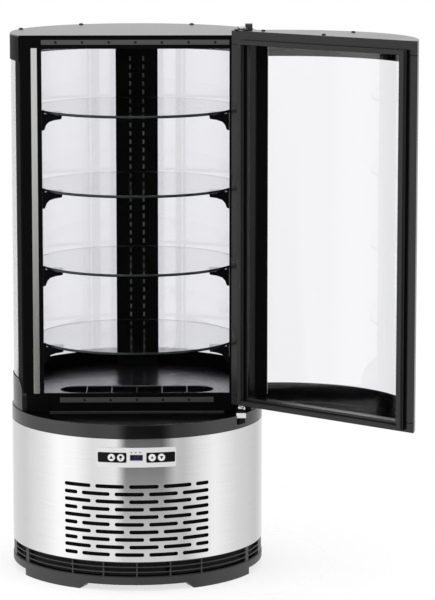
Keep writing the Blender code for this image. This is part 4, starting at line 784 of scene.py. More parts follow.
class CAKE_CASE_OT_plinth(CaseOperator):
    """The moulded plinth: louvred band, bottom ring and feet"""

    bl_idname = "cake_case.plinth"
    bl_label = "Plinth"

    WALL = 0.0045
    RING_LOW = 0.011
    LOUVRE_LOW = 0.0255
    RIB_PITCH = 15.2
    FRONT_RIBS = (-5, -4, -2, -1, 0, 1, 2, 4, 5)
    REAR_RIBS = (-2, -1, 0)
    WIDE_RIBS = (-4, 4)
    RIB_WIDTH = 0.0024
    WIDE_RIB_WIDTH = 0.0105
    LOUVRE_RIB = 0.0021
    WINDOW_CORNER = 0.0012
    FOOT_DEPTH = 0.026
    FOOT_START = 26.5
    FOOT_END = 62.5
    FOOT_SLOPE_END = 23.0

    def build(self, scene):
        made = finishes()
        wall = BODY_RADIUS - 0.0012
        high = WRAP_LOW - GAP
        outline = self.ring_outline(wall, self.LOUVRE_LOW - 0.001, high)
        band = rolled([outline] + self.windows(wall, high), wall, self.WALL)
        piece(
            "plinth_louvres", band, made.charcoal, slot="dark_moulding", stands_for=["plinth"],
            ease=0.0004, clamp=False,
        )
        inner = wall - self.WALL
        low, high = self.RING_LOW, self.LOUVRE_LOW - 0.0012
        profile = [
            (BODY_RADIUS - 0.0008, high), (BODY_RADIUS, high - 0.0012), (BODY_RADIUS, low + 0.001),
            (BODY_RADIUS - 0.001, low), (inner - 0.012, low), (inner - 0.012, low + 0.002),
            (inner, low + 0.002), (inner, high),
        ]
        piece("plinth_ring", turned(profile, True), made.charcoal, slot="dark_moulding")
        for number, (turn, side) in enumerate(((0.0, -1.0), (0.0, 1.0), (180.0, -1.0), (180.0, 1.0)), 1):
            foot = self.foot(turn, side)
            piece(f"plinth_foot_{number}", foot, made.charcoal, slot="dark_moulding", ease=0.0008)

    def ring_outline(self, radius, low, high):
        half = math.pi * radius - 0.0001
        return rectangle(-half, half, low, high)

    def windows(self, radius, band_top):
        """Three rows of windows between upright ribs, over the front and the rear."""
        low = self.LOUVRE_LOW
        height = (band_top - 0.0015 - low - 2 * self.LOUVRE_RIB) / 3
        loops = []
        for left, right in self.bays():
            for row in range(3):
                bottom = low + row * (height + self.LOUVRE_RIB)
                ends = along(radius, left, right)
                loops.append(rounded_rectangle(*ends, bottom, bottom + height, self.WINDOW_CORNER, 3))
        return loops

    def bays(self):
        """The angles at which each window starts and ends. The rear ones are on both sides of the joint."""
        front = [self.bay(*ribs) for ribs in zip(self.FRONT_RIBS, self.FRONT_RIBS[1:])]
        rear = [self.bay(*ribs) for ribs in zip(self.REAR_RIBS, self.REAR_RIBS[1:])]
        rear = [(180.0 + start, 180.0 + stop) for start, stop in rear]
        return front + rear + [(-stop, -start) for start, stop in rear]

    def bay(self, left, right):
        halves = []
        for rib in (left, right):
            width = self.WIDE_RIB_WIDTH if rib in self.WIDE_RIBS else self.RIB_WIDTH
            halves.append(math.degrees(width / 2 / BODY_RADIUS))
        return left * self.RIB_PITCH + halves[0], right * self.RIB_PITCH - halves[1]

    def foot(self, turn, side):
        """A slice of ring standing on the floor, sloped up at the end nearest the front."""
        rise = (self.FOOT_START - self.FOOT_SLOPE_END) / self.RING_LOW
        top = self.RING_LOW + 0.0026
        slope_top = self.RING_LOW + 0.0014
        stations = [(self.FOOT_START - rise * slope_top, slope_top)]
        count = round((self.FOOT_END - self.FOOT_START) / ARC_STEP)
        for step in range(count + 1):
            stations.append((self.FOOT_START + (self.FOOT_END - self.FOOT_START) * step / count, 0.0))
        inner, outer = BODY_RADIUS - self.FOOT_DEPTH, BODY_RADIUS - 0.0002
        mesh = bpy.data.meshes.new("foot")
        with edited(mesh) as shape:
            rings = []
            for angle, bottom in stations:
                section = ((inner, bottom), (outer, bottom), (outer, top), (inner, top))
                points = [(*on_arc(radius, turn + side * angle), z) for radius, z in section]
                rings.append([shape.verts.new(point) for point in points])
            bridge(shape, rings)
            shape.faces.new(rings[0])
            shape.faces.new(rings[-1])
            bmesh.ops.recalc_face_normals(shape, faces=shape.faces)
        return mesh


class CAKE_CASE_OT_steel_wrap(CaseOperator):
    """The brushed steel wrap with its brick pattern of slots"""

    bl_idname = "cake_case.steel_wrap"
    bl_label = "Steel wrap"

    ROWS = 10
    IN_ROW = 4
    TOP_ROW = 0.1863
    WALL = 0.0012
    # The window behind the control panel.
    WINDOW_HALF = 0.058
    BOARD_LAP = 0.0035

    def build(self, scene):
        sizes = scene.cake_case_sizes
        half = math.pi * BODY_RADIUS - 0.0004
        board = span("control_board")
        low, high = board[0].z + self.BOARD_LAP, board[1].z - self.BOARD_LAP
        window = rectangle(-self.WINDOW_HALF, self.WINDOW_HALF, low, high)
        loops = [rectangle(-half, half, WRAP_LOW, WRAP_HIGH), window]
        row_length = self.IN_ROW * (sizes.slot_length + sizes.slot_gap) + sizes.half_slot_length
        for row in range(self.ROWS):
            z = self.TOP_ROW - row * sizes.row_pitch
            side = 1.0 if row % 2 == 0 else -1.0
            for place in range(self.IN_ROW + 1):
                length = sizes.half_slot_length if place == self.IN_ROW else sizes.slot_length
                x = -row_length / 2 + place * (sizes.slot_length + sizes.slot_gap) + length / 2
                loops.append(long_hole(length, sizes.slot_height, side * x, z))
        mesh = rolled(loops, BODY_RADIUS, self.WALL)
        piece("slotted_wrap", mesh, finishes().stainless, slot="brushed_steel", stands_for=["steel_wrap"])


class CAKE_CASE_OT_base_cover(CaseOperator):
    """The moulded cover on the base, with its raised rim"""

    bl_idname = "cake_case.base_cover"
    bl_label = "Base cover"

    DECK_DROP = 0.003
    WALL = 0.003
    SPIGOT_DEPTH = 0.009
    HOLE_RADIUS = 0.201

    def build(self, scene):
        deck = RIM_TOP - self.DECK_DROP
        low = WRAP_HIGH + GAP
        spigot, foot, under = BODY_RADIUS - 0.0015, low - self.SPIGOT_DEPTH, deck - self.WALL
        profile = [
            (0.0, deck), (BODY_RADIUS - RIM_WIDTH, deck), (BODY_RADIUS - RIM_WIDTH, RIM_TOP),
            (BODY_RADIUS, RIM_TOP), (BODY_RADIUS, low), (spigot, low), (spigot, foot),
            (spigot - self.WALL, foot), (spigot - self.WALL, under), (0.0, under),
        ]
        hole = plate([d_shape(self.HOLE_RADIUS, SILL_REAR + 0.0002)], deck - 0.02, deck + 0.02)
        mesh = carved(turned(profile, False), hole)
        piece(
            "rimmed_cover", mesh, finishes().polished, slot="black_plastic", stands_for=["base_cover"],
            ease=0.0011, segments=3,
        )


# Controls

def triangle(height):
    """An arrowhead that points up, or down for a negative height."""
    half = abs(height) * 0.62
    return [[(0.0, height * 0.6), (-half, -height * 0.42), (half, -height * 0.42)]]


def bulb_loops(size):
    """A lamp bulb with its cap."""
    bulb = [(x, y) for x, y in circle(size * 0.5, 0.0, size * 0.22, 20) if y > -size * 0.2]
    bulb.sort(key=lambda point: math.atan2(point[1] - size * 0.22, point[0]))
    cap = rectangle(-size * 0.22, size * 0.22, -size * 0.62, -size * 0.34)
    return [bulb, cap]


def flake_loops(size):
    """A six-armed flake."""
    points = []
    for arm in range(12):
        turn = math.radians(30.0 * arm)
        reach = size * (0.72 if arm % 2 == 0 else 0.2)
        points.append((reach * math.sin(turn), reach * math.cos(turn)))
    return [list(reversed(points))]


class CAKE_CASE_OT_controls(CaseOperator):
    """The control panel: silver overlay, printed fields, display and four round buttons"""

    bl_idname = "cake_case.controls"
    bl_label = "Controls"

    BUTTONS = (
        ("button_up", -11.0545), ("button_lamp", -6.9059), ("button_defrost", 6.9059),
        ("button_down", 11.0545)
    )
    SIGNS = {
        "button_up": triangle,
        "button_down": lambda size: triangle(-size),
        "button_lamp": bulb_loops,
        "button_defrost": flake_loops,
    }
    PANEL_HALF = 17.708
    THICK = 0.0012
    FIELD_INNER = 4.35
    FIELD_OUTER = 17.25
    FIELD_HALF_HEIGHT = 0.0089
    BUTTON_GAP = 0.0005
    MARKS = (-0.0088, -0.0012, 0.0064)
    PRINT_RISE = 0.00012
    PRINT_THICK = 0.0001

    def build(self, scene):
        made = finishes()
        low, high = span("control_panel")[0].z, span("control_panel")[1].z
        face = BODY_RADIUS + GAP + self.THICK
        window_low, window_high = span("display")
        height = (window_low.z + window_high.z) / 2
        radius = (span("button_up")[1].z - span("button_up")[0].z) / 2
        half, = along(face, self.PANEL_HALF)
        places = along(face, *(angle for _, angle in self.BUTTONS))
        holes = [circle(radius + self.BUTTON_GAP, place, height, 28) for place in places]
        window = rectangle(window_low.x - GAP, window_high.x + GAP, window_low.z - GAP, window_high.z + GAP)
        outline = rounded_rectangle(-half, half, low, high, 0.003, 6)
        foil = rolled([outline, window] + holes, face, self.THICK)
        piece("silver_overlay", foil, made.foil, slot="panel_foil", stands_for=["control_panel"])
        self.fields(made, face, height, holes)
        self.display(made, window_low, window_high)
        for name, angle in self.BUTTONS:
            self.button(made, name, angle, height, radius)
        dress_node("control_board", made.charcoal)

    def fields(self, made, face, height, holes):
        for name, side, nearest in (
            ("printed_field_left", -1.0, holes[:2]), ("printed_field_right", 1.0, holes[2:])
        ):
            ends = sorted(side * end for end in along(face, self.FIELD_INNER, self.FIELD_OUTER))
            low, high = height - self.FIELD_HALF_HEIGHT, height + self.FIELD_HALF_HEIGHT
            outline = rounded_rectangle(*ends, low, high, 0.0022, 5)
            mesh = rolled([outline] + nearest, face + self.PRINT_RISE, self.PRINT_THICK)
            piece(name, mesh, made.black_ink, slot="panel_foil")
        for number, x in enumerate(self.MARKS, 1):
            mark = rounded_rectangle(x - 0.0012, x + 0.0012, height + 0.0083, height + 0.0101, 0.0006, 3)
            mesh = rolled([mark], face + self.PRINT_RISE, self.PRINT_THICK)
            piece(f"indicator_mark_{number}", mesh, made.black_ink, slot="panel_foil")

    def display(self, made, low, high):
        mesh = plate([rounded_rectangle(low.x, high.x, low.z, high.z, 0.0005, 3)], 0.0, high.y - low.y)
        placed(mesh, Matrix.Translation((0.0, high.y, 0.0)) @ UPRIGHT)
        piece("display_window", mesh, made.window, slot="display_window", stands_for=["display"], ease=0.0003)
        middle = (low.z + high.z) / 2
        half_h = (high.z - low.z) * 0.62 / 2
        half_w = (high.z - low.z) * 0.62 * 0.52 / 2
        thick, edge = 0.0007, 0.0007 / 2
        for number, x in enumerate((-half_w * 2 * 0.95, half_w * 2 * 0.95), 1):
            bars = []
            left, right = x - half_w, x + half_w
            for y in (middle - half_h, middle + 0.0, middle + half_h):
                bars.append(rectangle(left + thick, right - thick, y - edge, y + edge))
            for end in (left, right):
                for y_low, y_high in ((-half_h + thick, -thick), (thick, half_h - thick)):
                    bars.append(rectangle(end - edge, end + edge, middle + y_low, middle + y_high))
            mesh = plate(bars, 0.0, 0.00008)
            placed(mesh, Matrix.Translation((0.0, low.y, 0.0)) @ UPRIGHT)
            piece(f"unlit_digit_{number}", mesh, made.faint_ink, slot="display_window")

    def button(self, made, name, angle, height, radius):
        """A dished keycap on its stem, with its printed sign riding on it."""
        front = BODY_RADIUS + GAP + self.THICK + 0.0014
        profile = [
            (0.0, -0.00035), (radius * 0.5, -0.00028), (radius * 0.8, -0.0001), (radius * 0.9, 0.0),
            (radius * 0.97, -0.00015), (radius, -0.0006), (radius, -0.0069), (0.0, -0.0069),
        ]
        cap = placed(turned(profile, False, 48), facing_out(angle, height, front))
        piece(f"{name}_cap", cap, made.keycap, name, "button_white", [name])
        loops = self.SIGNS[name](radius * 0.85)
        sign = plate(loops, -0.00035, -0.00018)
        placed(sign, facing_out(angle, height, front))
        piece(f"{name}_sign", sign, made.black_ink, name, "button_white")


# Cabinet

def screw_head(radius, matrix, height):
    """A screw head with a cross recess, standing this far out of z = 0."""
    profile = [
        (0.0, height), (radius * 0.55, height * 0.9), (radius * 0.9, height * 0.5), (radius, 0.0), (0.0, 0.0)
    ]
    head = turned(profile, False, 24)
    arm = radius * 0.5
    thin = radius * 0.13
    cross = [rectangle(-arm, arm, -thin, thin), rectangle(-thin, thin, -arm, arm)]
    for loop in cross:
        head = carved(head, plate([loop], height * 0.4, radius))
    return placed(head, matrix)


class CAKE_CASE_OT_front_frame(CaseOperator):
    """Posts, header, sill and the steel strips that the door's seal closes on"""

    bl_idname = "cake_case.front_frame"
    bl_label = "Front frame"

    SHELF_CLEARANCE_RADIUS = 0.1835
    HEADER_LOW = 0.9365
    HEADER_DEPTH = 0.012
    SILL_BLOCK_INNER = 0.155
    SILL_SETBACK = 0.003
    STRIP_SCREW = 0.0024
    # The seal closes 0.8 mm in front of the strips, so their screws are countersunk.
    FLUSH = 0.0004

    def build(self, scene):
        made = finishes()
        round_off = scene.cake_case_sizes.edge_round
        outline = self.post_outline()
        low = SILL_TOP + GAP
        inner, outer, top, under = COLLAR_INSIDE - GAP, 0.26, COLLAR_HIGH + GAP, low - 0.01
        collar_ring = turned([(outer, top), (outer, under), (inner, under), (inner, top)], True)
        collar_ring = carved(collar_ring, collar_corner(GAP, 5 / 6))
        for name, loop, stands_for in (
            ("post_right", outline, ["door_frame"]), ("post_left", mirrored(outline), [])
        ):
            mesh = carved(plate([loop], low, POST_TOP), collar_ring)
            piece(name, mesh, made.matt, slot="black_plastic", stands_for=stands_for, ease=0.0005)
        header = bar(
            -OPENING_HALF - 0.0002, OPENING_HALF + 0.0002, FRAME_FRONT, FRAME_FRONT + self.HEADER_DEPTH,
            self.HEADER_LOW, POST_TOP,
        )
        piece("header", header, made.matt, slot="black_plastic", ease=round_off * 0.6)
        self.sill(made, round_off)
        self.strips(made, scene.cake_case_sizes.screw_pitch)

    def post_outline(self):
        front = angle_at(PANE_RADIUS, FRAME_FRONT)
        rear = angle_at(PANE_RADIUS, POST_REAR)
        clear_start = angle_at(self.SHELF_CLEARANCE_RADIUS, POST_REAR + 0.004)
        clear_end = math.degrees(math.asin(OPENING_HALF / self.SHELF_CLEARANCE_RADIUS))
        pocket_x = math.sqrt(PANE_INSIDE ** 2 - POST_REAR ** 2) - GAP
        side = arc(PANE_RADIUS, front, rear)
        nose = eased((OPENING_HALF, FRAME_FRONT), side[0], side[3], 0.003)
        return (
            [(OPENING_HALF, FRAME_FRONT)] + nose + side[3:]
            + [(pocket_x, POST_REAR), (pocket_x - 0.011, POST_REAR + 0.0045)]
            + arc(self.SHELF_CLEARANCE_RADIUS, clear_start, clear_end)
        )

    def sill(self, made, round_off):
        low = span("sill")[0].z
        outer = COLLAR_INSIDE - GAP
        bar_y = FRAME_FRONT + self.SILL_SETBACK
        half = [(self.SILL_BLOCK_INNER, bar_y), (self.SILL_BLOCK_INNER, FRAME_FRONT)]
        half += arc(outer, angle_at(outer, FRAME_FRONT), angle_at(outer, SILL_REAR))
        mesh = plate([half + mirrored(half)], low, SILL_TOP)
        piece("sill_bar", mesh, made.matt, slot="black_plastic", stands_for=["sill"], ease=round_off)
        inner = self.SILL_BLOCK_INNER
        trim = bar(-inner, inner, bar_y - 0.0012, bar_y, low + 0.0002, low + 0.0016)
        # The trim takes the darker copy of the strip steel, which is painted shade.
        piece("sill_trim", trim, made.shaded_cross_strip, slot="steel_strip")

    def strips(self, made, pitch):
        # The cross strips take the darker copy of the strip steel, which is painted shade.
        strips = (("strip_left", made.side_strip), ("strip_right", made.side_strip),
                  ("strip_top", made.shaded_cross_strip), ("strip_bottom", made.shaded_cross_strip))
        for name, finish in strips:
            dress_node(name, finish, 0.0002)
        for where, half_count in (("top", 3), ("bottom", 2)):
            low, high = span(f"strip_{where}")
            for number in range(-half_count, half_count + 1):
                name = f"{where}_strip_screw_{number + half_count + 1}"
                place = Matrix.Translation((number * pitch, low.y, (low.z + high.z) / 2)) @ UPRIGHT
                piece(name, screw_head(self.STRIP_SCREW, place, self.FLUSH), made.screw, slot="steel_strip")


def front_block(low, high):
    """All that lies in front of the frame's plane."""
    return bar(-0.3, 0.3, -0.4, FRONT_PLANE, low - 0.02, high + 0.02)


def collar_corner(clearance, share):
    """A bar across the case, whose lower rear side is this share of the collar's rounded corner."""
    sizes = bpy.context.scene.cake_case_sizes
    length, height = sizes.corner_length, sizes.corner_height
    middle_y, middle_z = FRONT_PLANE + length, COLLAR_HIGH - height
    outline = []
    for step in range(11):
        turn = math.pi / 2 * share * step / 10
        forward, up = (length + clearance) * math.sin(turn), (height + clearance) * math.cos(turn)
        outline.append((middle_y - forward, middle_z + up))
    front, top = FRONT_PLANE - 0.02, COLLAR_HIGH + 0.02
    outline += [(front, outline[-1][1]), (front, top), (middle_y, top)]
    across = Matrix(((0, 0, 1, 0), (1, 0, 0, 0), (0, 1, 0, 0), (0, 0, 0, 1)))
    return placed(plate([outline], -0.3, 0.3), across)


class CAKE_CASE_OT_collar(CaseOperator):
    """The moulded collar that holds the foot of the glazing"""

    bl_idname = "cake_case.collar"
    bl_label = "Collar"

    def build(self, scene):
        thin = CABINET_RADIUS - SHEET_WALL
        profile = [
            (CABINET_RADIUS, COLLAR_HIGH), (CABINET_RADIUS, COLLAR_LOW), (COLLAR_INSIDE, COLLAR_LOW),
            (COLLAR_INSIDE, COLLAR_LEDGE), (thin, COLLAR_LEDGE), (thin, COLLAR_HIGH),
        ]
        mesh = carved(turned(profile, True), front_block(COLLAR_LOW, COLLAR_HIGH))
        mesh = carved(mesh, collar_corner(0.0, 1.0))
        made = finishes()
        # The inner wall takes the dull black, a darker copy of the collar's own black: painted shade inside
        # the cabinet.
        two_tone(mesh, made.black, made.matt, lambda face: face.center.xy.length < COLLAR_INSIDE + 0.001)
        piece("collar_band", mesh, made.black, slot="black_plastic", stands_for=["collar"], ease=0.0005)


class CAKE_CASE_OT_glazing(CaseOperator):
    """The two curved double panes: outer and inner sheet with a spacer between them"""

    bl_idname = "cake_case.glazing"
    bl_label = "Glazing"

    EDGE = 0.006
    FILM = 0.0001

    def build(self, scene):
        made = finishes()
        start = angle_at(PANE_RADIUS, POST_REAR + GAP)
        low, high = COLLAR_LEDGE + GAP, POST_TOP
        for side, first, last in (("right", start, 179.6), ("left", -179.6, -start)):
            def band(radius, top=high, inset=0.0):
                left, right = along(radius, first, last)
                return rectangle(left + inset, right - inset, low + inset, top - inset)

            for name, radius, thick, stands_for in (
                ("outer", PANE_RADIUS, PANE_OUTER, [f"glazing_{side}"]),
                ("inner", PANE_INSIDE + PANE_INNER, PANE_INNER, []),
            ):
                mesh = rolled([band(radius)], radius, thick)
                piece(f"pane_{side}_{name}", mesh, made.glass, slot="clear_glass", stands_for=stands_for)
            radius = PANE_RADIUS - PANE_OUTER - self.FILM
            spacer = rolled([band(radius), band(radius, inset=self.EDGE)], radius, PANE_SPACE - 2 * self.FILM)
            piece(f"spacer_{side}", spacer, made.matt, slot="black_plastic")
            radius = PANE_INSIDE - self.FILM
            border = rolled([band(radius, COLLAR_HIGH + 0.002)], radius, self.FILM)
            piece(f"pane_print_{side}", border, made.matt, slot="black_plastic")


class CAKE_CASE_OT_canopy(CaseOperator):
    """The pressed and enamelled canopy with its screws"""

    bl_idname = "cake_case.canopy"
    bl_label = "Canopy"

    ROOF_WALL = 0.003
    SCREWS = ((0.2056, 0.067), (0.101, 0.185))
    SCREW_RADIUS = 0.0045
    SCREW_HEIGHT = 0.0025

    def build(self, scene):
        made = finishes()
        thin = CABINET_RADIUS - SHEET_WALL
        under = CANOPY_TOP - self.ROOF_WALL
        profile = [
            (0.0, CANOPY_TOP), (CABINET_RADIUS - 0.0022, CANOPY_TOP),
            (CABINET_RADIUS - 0.0011, CANOPY_TOP - 0.0003), (CABINET_RADIUS - 0.0003, CANOPY_TOP - 0.0011),
            (CABINET_RADIUS, CANOPY_TOP - 0.0022), (CABINET_RADIUS, CANOPY_LOW), (thin, CANOPY_LOW),
            (thin, under), (0.0, under),
        ]
        mesh = carved(turned(profile, False), front_block(CANOPY_LOW, CANOPY_TOP))
        # The skirt's upright faces take the dull black, darker than the enamel top of the same pressed sheet:
        # painted shade.
        two_tone(mesh, made.enamel, made.matt, lambda face: abs(face.normal.z) < 0.2)
        piece("pressed_canopy", mesh, made.enamel, slot="black_enamel", stands_for=["canopy"], ease=0.0005)
        for side in (-1.0, 1.0):
            for number, (x, y) in enumerate(self.SCREWS, 1):
                name = f"canopy_screw_{'left' if side < 0 else 'right'}_{number}"
                head = screw_head(
                    self.SCREW_RADIUS, Matrix.Translation((side * x, y, CANOPY_TOP)), self.SCREW_HEIGHT
                )
                piece(name, head, made.screw, slot="black_enamel")


class CAKE_CASE_OT_cold_floor(CaseOperator):
    """The steel floor with its vent, the air column and the cooling set below"""

    bl_idname = "cake_case.cold_floor"
    bl_label = "Cold floor"

    def build(self, scene):
        made = finishes()
        dress_node("floor_plate", made.floor, 0.0004)
        self.surround(made)
        dress_node("air_column", made.matt, 0.0003)
        low, high = span("air_column")
        liner = bar(
            low.x * 0.7, high.x * 0.7, low.y + 0.006, low.y + 0.009, low.z + 0.02, high.z - 0.02
        )
        piece("column_liner", liner, made.liner, slot="black_plastic")
        dress_node("evaporator_tub", made.tub, 0.0008)
        dress_node("evaporator", made.fins)
        dress_node("evaporator_fan", made.black, 0.0003)
        dress_node("evaporator_motor", made.charcoal)

    def surround(self, made):
        """A thin black band over the edge of the steel, wide at the sides and narrow at the rear."""
        high = span("floor_plate")[1]
        outer, inner = high.x - 0.0008, high.x - 0.0025
        side = [(0.172, 0.02), (0.1706, 0.073), (0.1675, 0.0905), (0.1621, 0.106), (0.1535, 0.1295)]
        first, meets = angle_at(outer, 0.02), angle_at(inner, 0.155)
        outside = arc(outer, first, 360.0 - first) + mirrored(side)[::-1]
        loop = outside + arc(inner, 360.0 - meets, meets) + side[::-1]
        mesh = plate([loop], high.z, high.z + 0.0008)
        piece("floor_surround", mesh, made.matt, slot="black_plastic")


class CAKE_CASE_OT_shelves(CaseOperator):
    """Four round glass shelves with ground edges, and their brackets"""

    bl_idname = "cake_case.shelves"
    bl_label = "Shelves"

    ARRIS_UPPER = 0.0006
    ARRIS_LOWER = 0.0016

    def build(self, scene):
        made = finishes()
        for number in range(1, 5):
            low, high = span(f"shelf_{number}")
            radius = high.x
            upper, lower = self.ARRIS_UPPER, self.ARRIS_LOWER
            profile = [
                (0.0, high.z), (radius - upper, high.z), (radius, high.z - upper),
                (radius, low.z + lower), (radius - lower, low.z), (0.0, low.z),
            ]
            mesh = turned(profile, False)
            two_tone(mesh, made.glass, made.edge, lambda face: abs(face.normal.z) < 0.5)
            piece(
                f"shelf_glass_{number}", mesh, made.glass, slot="clear_glass",
                stands_for=[f"shelf_{number}"]
            )
            for place in ("right", "left", "rear"):
                dress_node(f"bracket_{place}_{number}", made.matt, 0.0006)


class CAKE_CASE_OT_light_bars(CaseOperator):
    """Light bars behind the posts: an opal cover on an aluminium channel"""

    bl_idname = "cake_case.light_bars"
    bl_label = "Light bars"

    SIDE_GAP = 0.0006
    FOOT = 0.003
    LIP = 0.0005

    def build(self, scene):
        made = finishes()
        for side in ("left", "right"):
            low, high = span(f"light_bar_{side}")
            middle = (low.x + high.x) / 2
            reach = (high.x - low.x) / 2 - self.SIDE_GAP
            foot = low.y + self.FOOT
            cover = []
            for step in range(9):
                turn = math.pi * step / 8
                cover.append((middle + reach * math.cos(turn), foot + (high.y - foot) * math.sin(turn)))
            mesh = plate([cover], low.z, high.z)
            piece(
                f"opal_cover_{side}", mesh, made.opal, slot="lamp_diffuser",
                stands_for=[f"light_bar_{side}"]
            )
            lip, base = foot + 0.001, foot - 0.0002
            left, right = low.x + self.LIP, high.x - self.LIP
            channel = [
                (low.x, low.y), (high.x, low.y), (high.x, lip), (right, lip),
                (right, base), (left, base), (left, lip), (low.x, lip),
            ]
            mesh = plate([channel], low.z, high.z)
            piece(f"light_channel_{side}", mesh, made.fins, slot="lamp_diffuser")


# Door

class CAKE_CASE_OT_door(CaseOperator):
    """The door: end caps, stiles, curved pane and seal"""

    bl_idname = "cake_case.door"
    bl_label = "Door"

    RAIL_DEPTH = 0.018
    SKIN = 0.0035
    PANE = 0.004
    CAP_PLATE = 0.003
    RAIL_LOW = 0.3255
    RAIL_HIGH = 0.9455
    FLANGE = 0.0045
    BORE_RADIUS = 0.0057
    PANE_LAP = 5.5
    PRINT_THICK = 0.0001
    SEAL_WIDTH = 0.008
    # The seal's section, as shares of its width and of how far it stands out.
    SEAL = (
        (0.0, 0.0), (0.0, 0.22), (0.12, 0.36), (0.12, 0.5), (0.0, 0.62), (0.0, 0.88), (0.08, 1.0),
        (0.92, 1.0), (1.0, 0.88), (1.0, 0.62), (0.88, 0.5), (0.88, 0.36), (1.0, 0.22), (1.0, 0.0),
    )
    SCREW_RADIUS = 0.004
    SCREW_HEIGHT = 0.0022
    HEAD_SCREWS = ((0.010, -0.1207), (0.010, -0.2033), (0.150, -0.130))

    def build(self, scene):
        made = finishes()
        round_off = scene.cake_case_sizes.edge_round
        self.cap("door_foot", "door_bottom_cap", made, round_off, DOOR_LOW, SKIRT_LOW, True)
        self.cap("door_head", "door_top_cap", made, round_off, SKIRT_HIGH, DOOR_HIGH, False)
        for number, (x, y) in enumerate(self.HEAD_SCREWS, 1):
            head = screw_head(self.SCREW_RADIUS, Matrix.Translation((x, y, DOOR_HIGH)), self.SCREW_HEIGHT)
            piece(f"door_screw_{number}", head, made.screw, "door", "black_plastic", place=DOOR)
        self.stiles(made)
        self.pane(made)
        self.seal(made)

    def cap(self, name, node, made, round_off, low, high, rises):
        plate_low = low if rises else high - self.CAP_PLATE
        mesh = plate([segment(BODY_RADIUS, DOOR_FACE)], low, high)
        pocket_low = plate_low + self.CAP_PLATE if rises else low - 0.01
        pocket_high = high + 0.01 if rises else plate_low
        pocket = segment(BODY_RADIUS - self.SKIN, DOOR_FACE - self.RAIL_DEPTH)
        mesh = carved(mesh, plate([pocket], pocket_low, pocket_high))
        rail = self.RAIL_LOW if rises else self.RAIL_HIGH
        step_low, step_high = (rail, high + 0.02) if rises else (low - 0.02, rail)
        chord = DOOR_FACE - self.RAIL_DEPTH - 0.0002
        edge = math.degrees(math.asin(STILE_INNER / BODY_RADIUS)) - 0.1
        far_x, far_y = on_arc(0.6, edge)
        half = [
            (0.6, DOOR_FACE + 0.05), (0.6, far_y), (far_x, far_y),
            (-chord * math.tan(math.radians(edge)), chord)
        ]
        mesh = carved(mesh, plate([half + mirrored(half)], step_low, step_high))
        bore_low = low - 0.01 if rises else high - 0.0108
        bore = circle(self.BORE_RADIUS, PIN.x, PIN.y)
        mesh = carved(mesh, plate([bore], bore_low, bore_low + 0.0208))
        piece(name, mesh, made.black, "door", "black_plastic", [node], DOOR, ease=round_off)

    def stiles(self, made):
        end = angle_at(BODY_RADIUS, DOOR_FACE)
        inner_angle = math.degrees(math.asin(STILE_INNER / BODY_RADIUS))
        inside = BODY_RADIUS - self.SKIN
        flange = DOOR_FACE - self.FLANGE
        outline = (
            [(STILE_INNER, flange), (STILE_INNER, DOOR_FACE)]
            + arc(BODY_RADIUS, end, inner_angle)
            + arc(inside, inner_angle, angle_at(inside, flange))
        )
        for name, node, loop in (
            ("hinge_stile_channel", "door_hinge_stile", outline),
            ("free_stile_channel", "door_free_stile", mirrored(outline)),
        ):
            mesh = plate([loop], STILE_LOW, STILE_HIGH)
            piece(name, mesh, made.black, "door", "black_plastic", [node], DOOR, ease=0.0007)

    def pane(self, made):
        low, high = span("door_pane", DOOR)
        radius = BODY_RADIUS - self.SKIN - GAP
        half = (math.asin(STILE_INNER / BODY_RADIUS) + math.radians(self.PANE_LAP)) * radius
        notch = math.asin((STILE_INNER - 0.0018) / radius) * radius
        loop = [
            (-notch, low.z), (notch, low.z), (notch, STILE_LOW), (half, STILE_LOW), (half, STILE_HIGH),
            (notch, STILE_HIGH), (notch, high.z), (-notch, high.z), (-notch, STILE_HIGH), (-half, STILE_HIGH),
            (-half, STILE_LOW), (-notch, STILE_LOW),
        ]
        mesh = rolled([loop], radius, self.PANE)
        piece("curved_pane", mesh, made.glass, "door", "clear_glass", ["door_pane"], DOOR)
        inside = radius - self.PANE - self.PRINT_THICK
        for side, ends in (("hinge", (notch, half)), ("free", (-half, -notch))):
            start, stop = (end / radius * inside for end in ends)
            border = rolled([rectangle(start, stop, STILE_LOW, STILE_HIGH)], inside, self.PRINT_THICK)
            piece(f"pane_border_{side}", border, made.matt, "door", "black_plastic", place=DOOR)

    def seal(self, made):
        """The magnetic seal: a hollow-looking section with a bellows groove, mitred round the door."""
        low, high = span("door_gasket", DOOR)
        mesh = bpy.data.meshes.new("magnetic_seal")
        with edited(mesh) as shape:
            loops = []
            for across, out in self.SEAL:
                inset = across * self.SEAL_WIDTH
                y = low.y + out * (high.y - low.y)
                corners = rectangle(low.x + inset, high.x - inset, low.z + inset, high.z - inset)
                loops.append([shape.verts.new((x, y, z)) for x, z in corners])
            bridge(shape, loops + loops[:1])
            bmesh.ops.recalc_face_normals(shape, faces=shape.faces)
            mark_edges(shape, 50.0)
        piece("magnetic_seal", mesh, made.gasket, "door", "gasket_rubber", ["door_gasket"], DOOR, ease=0.0004)


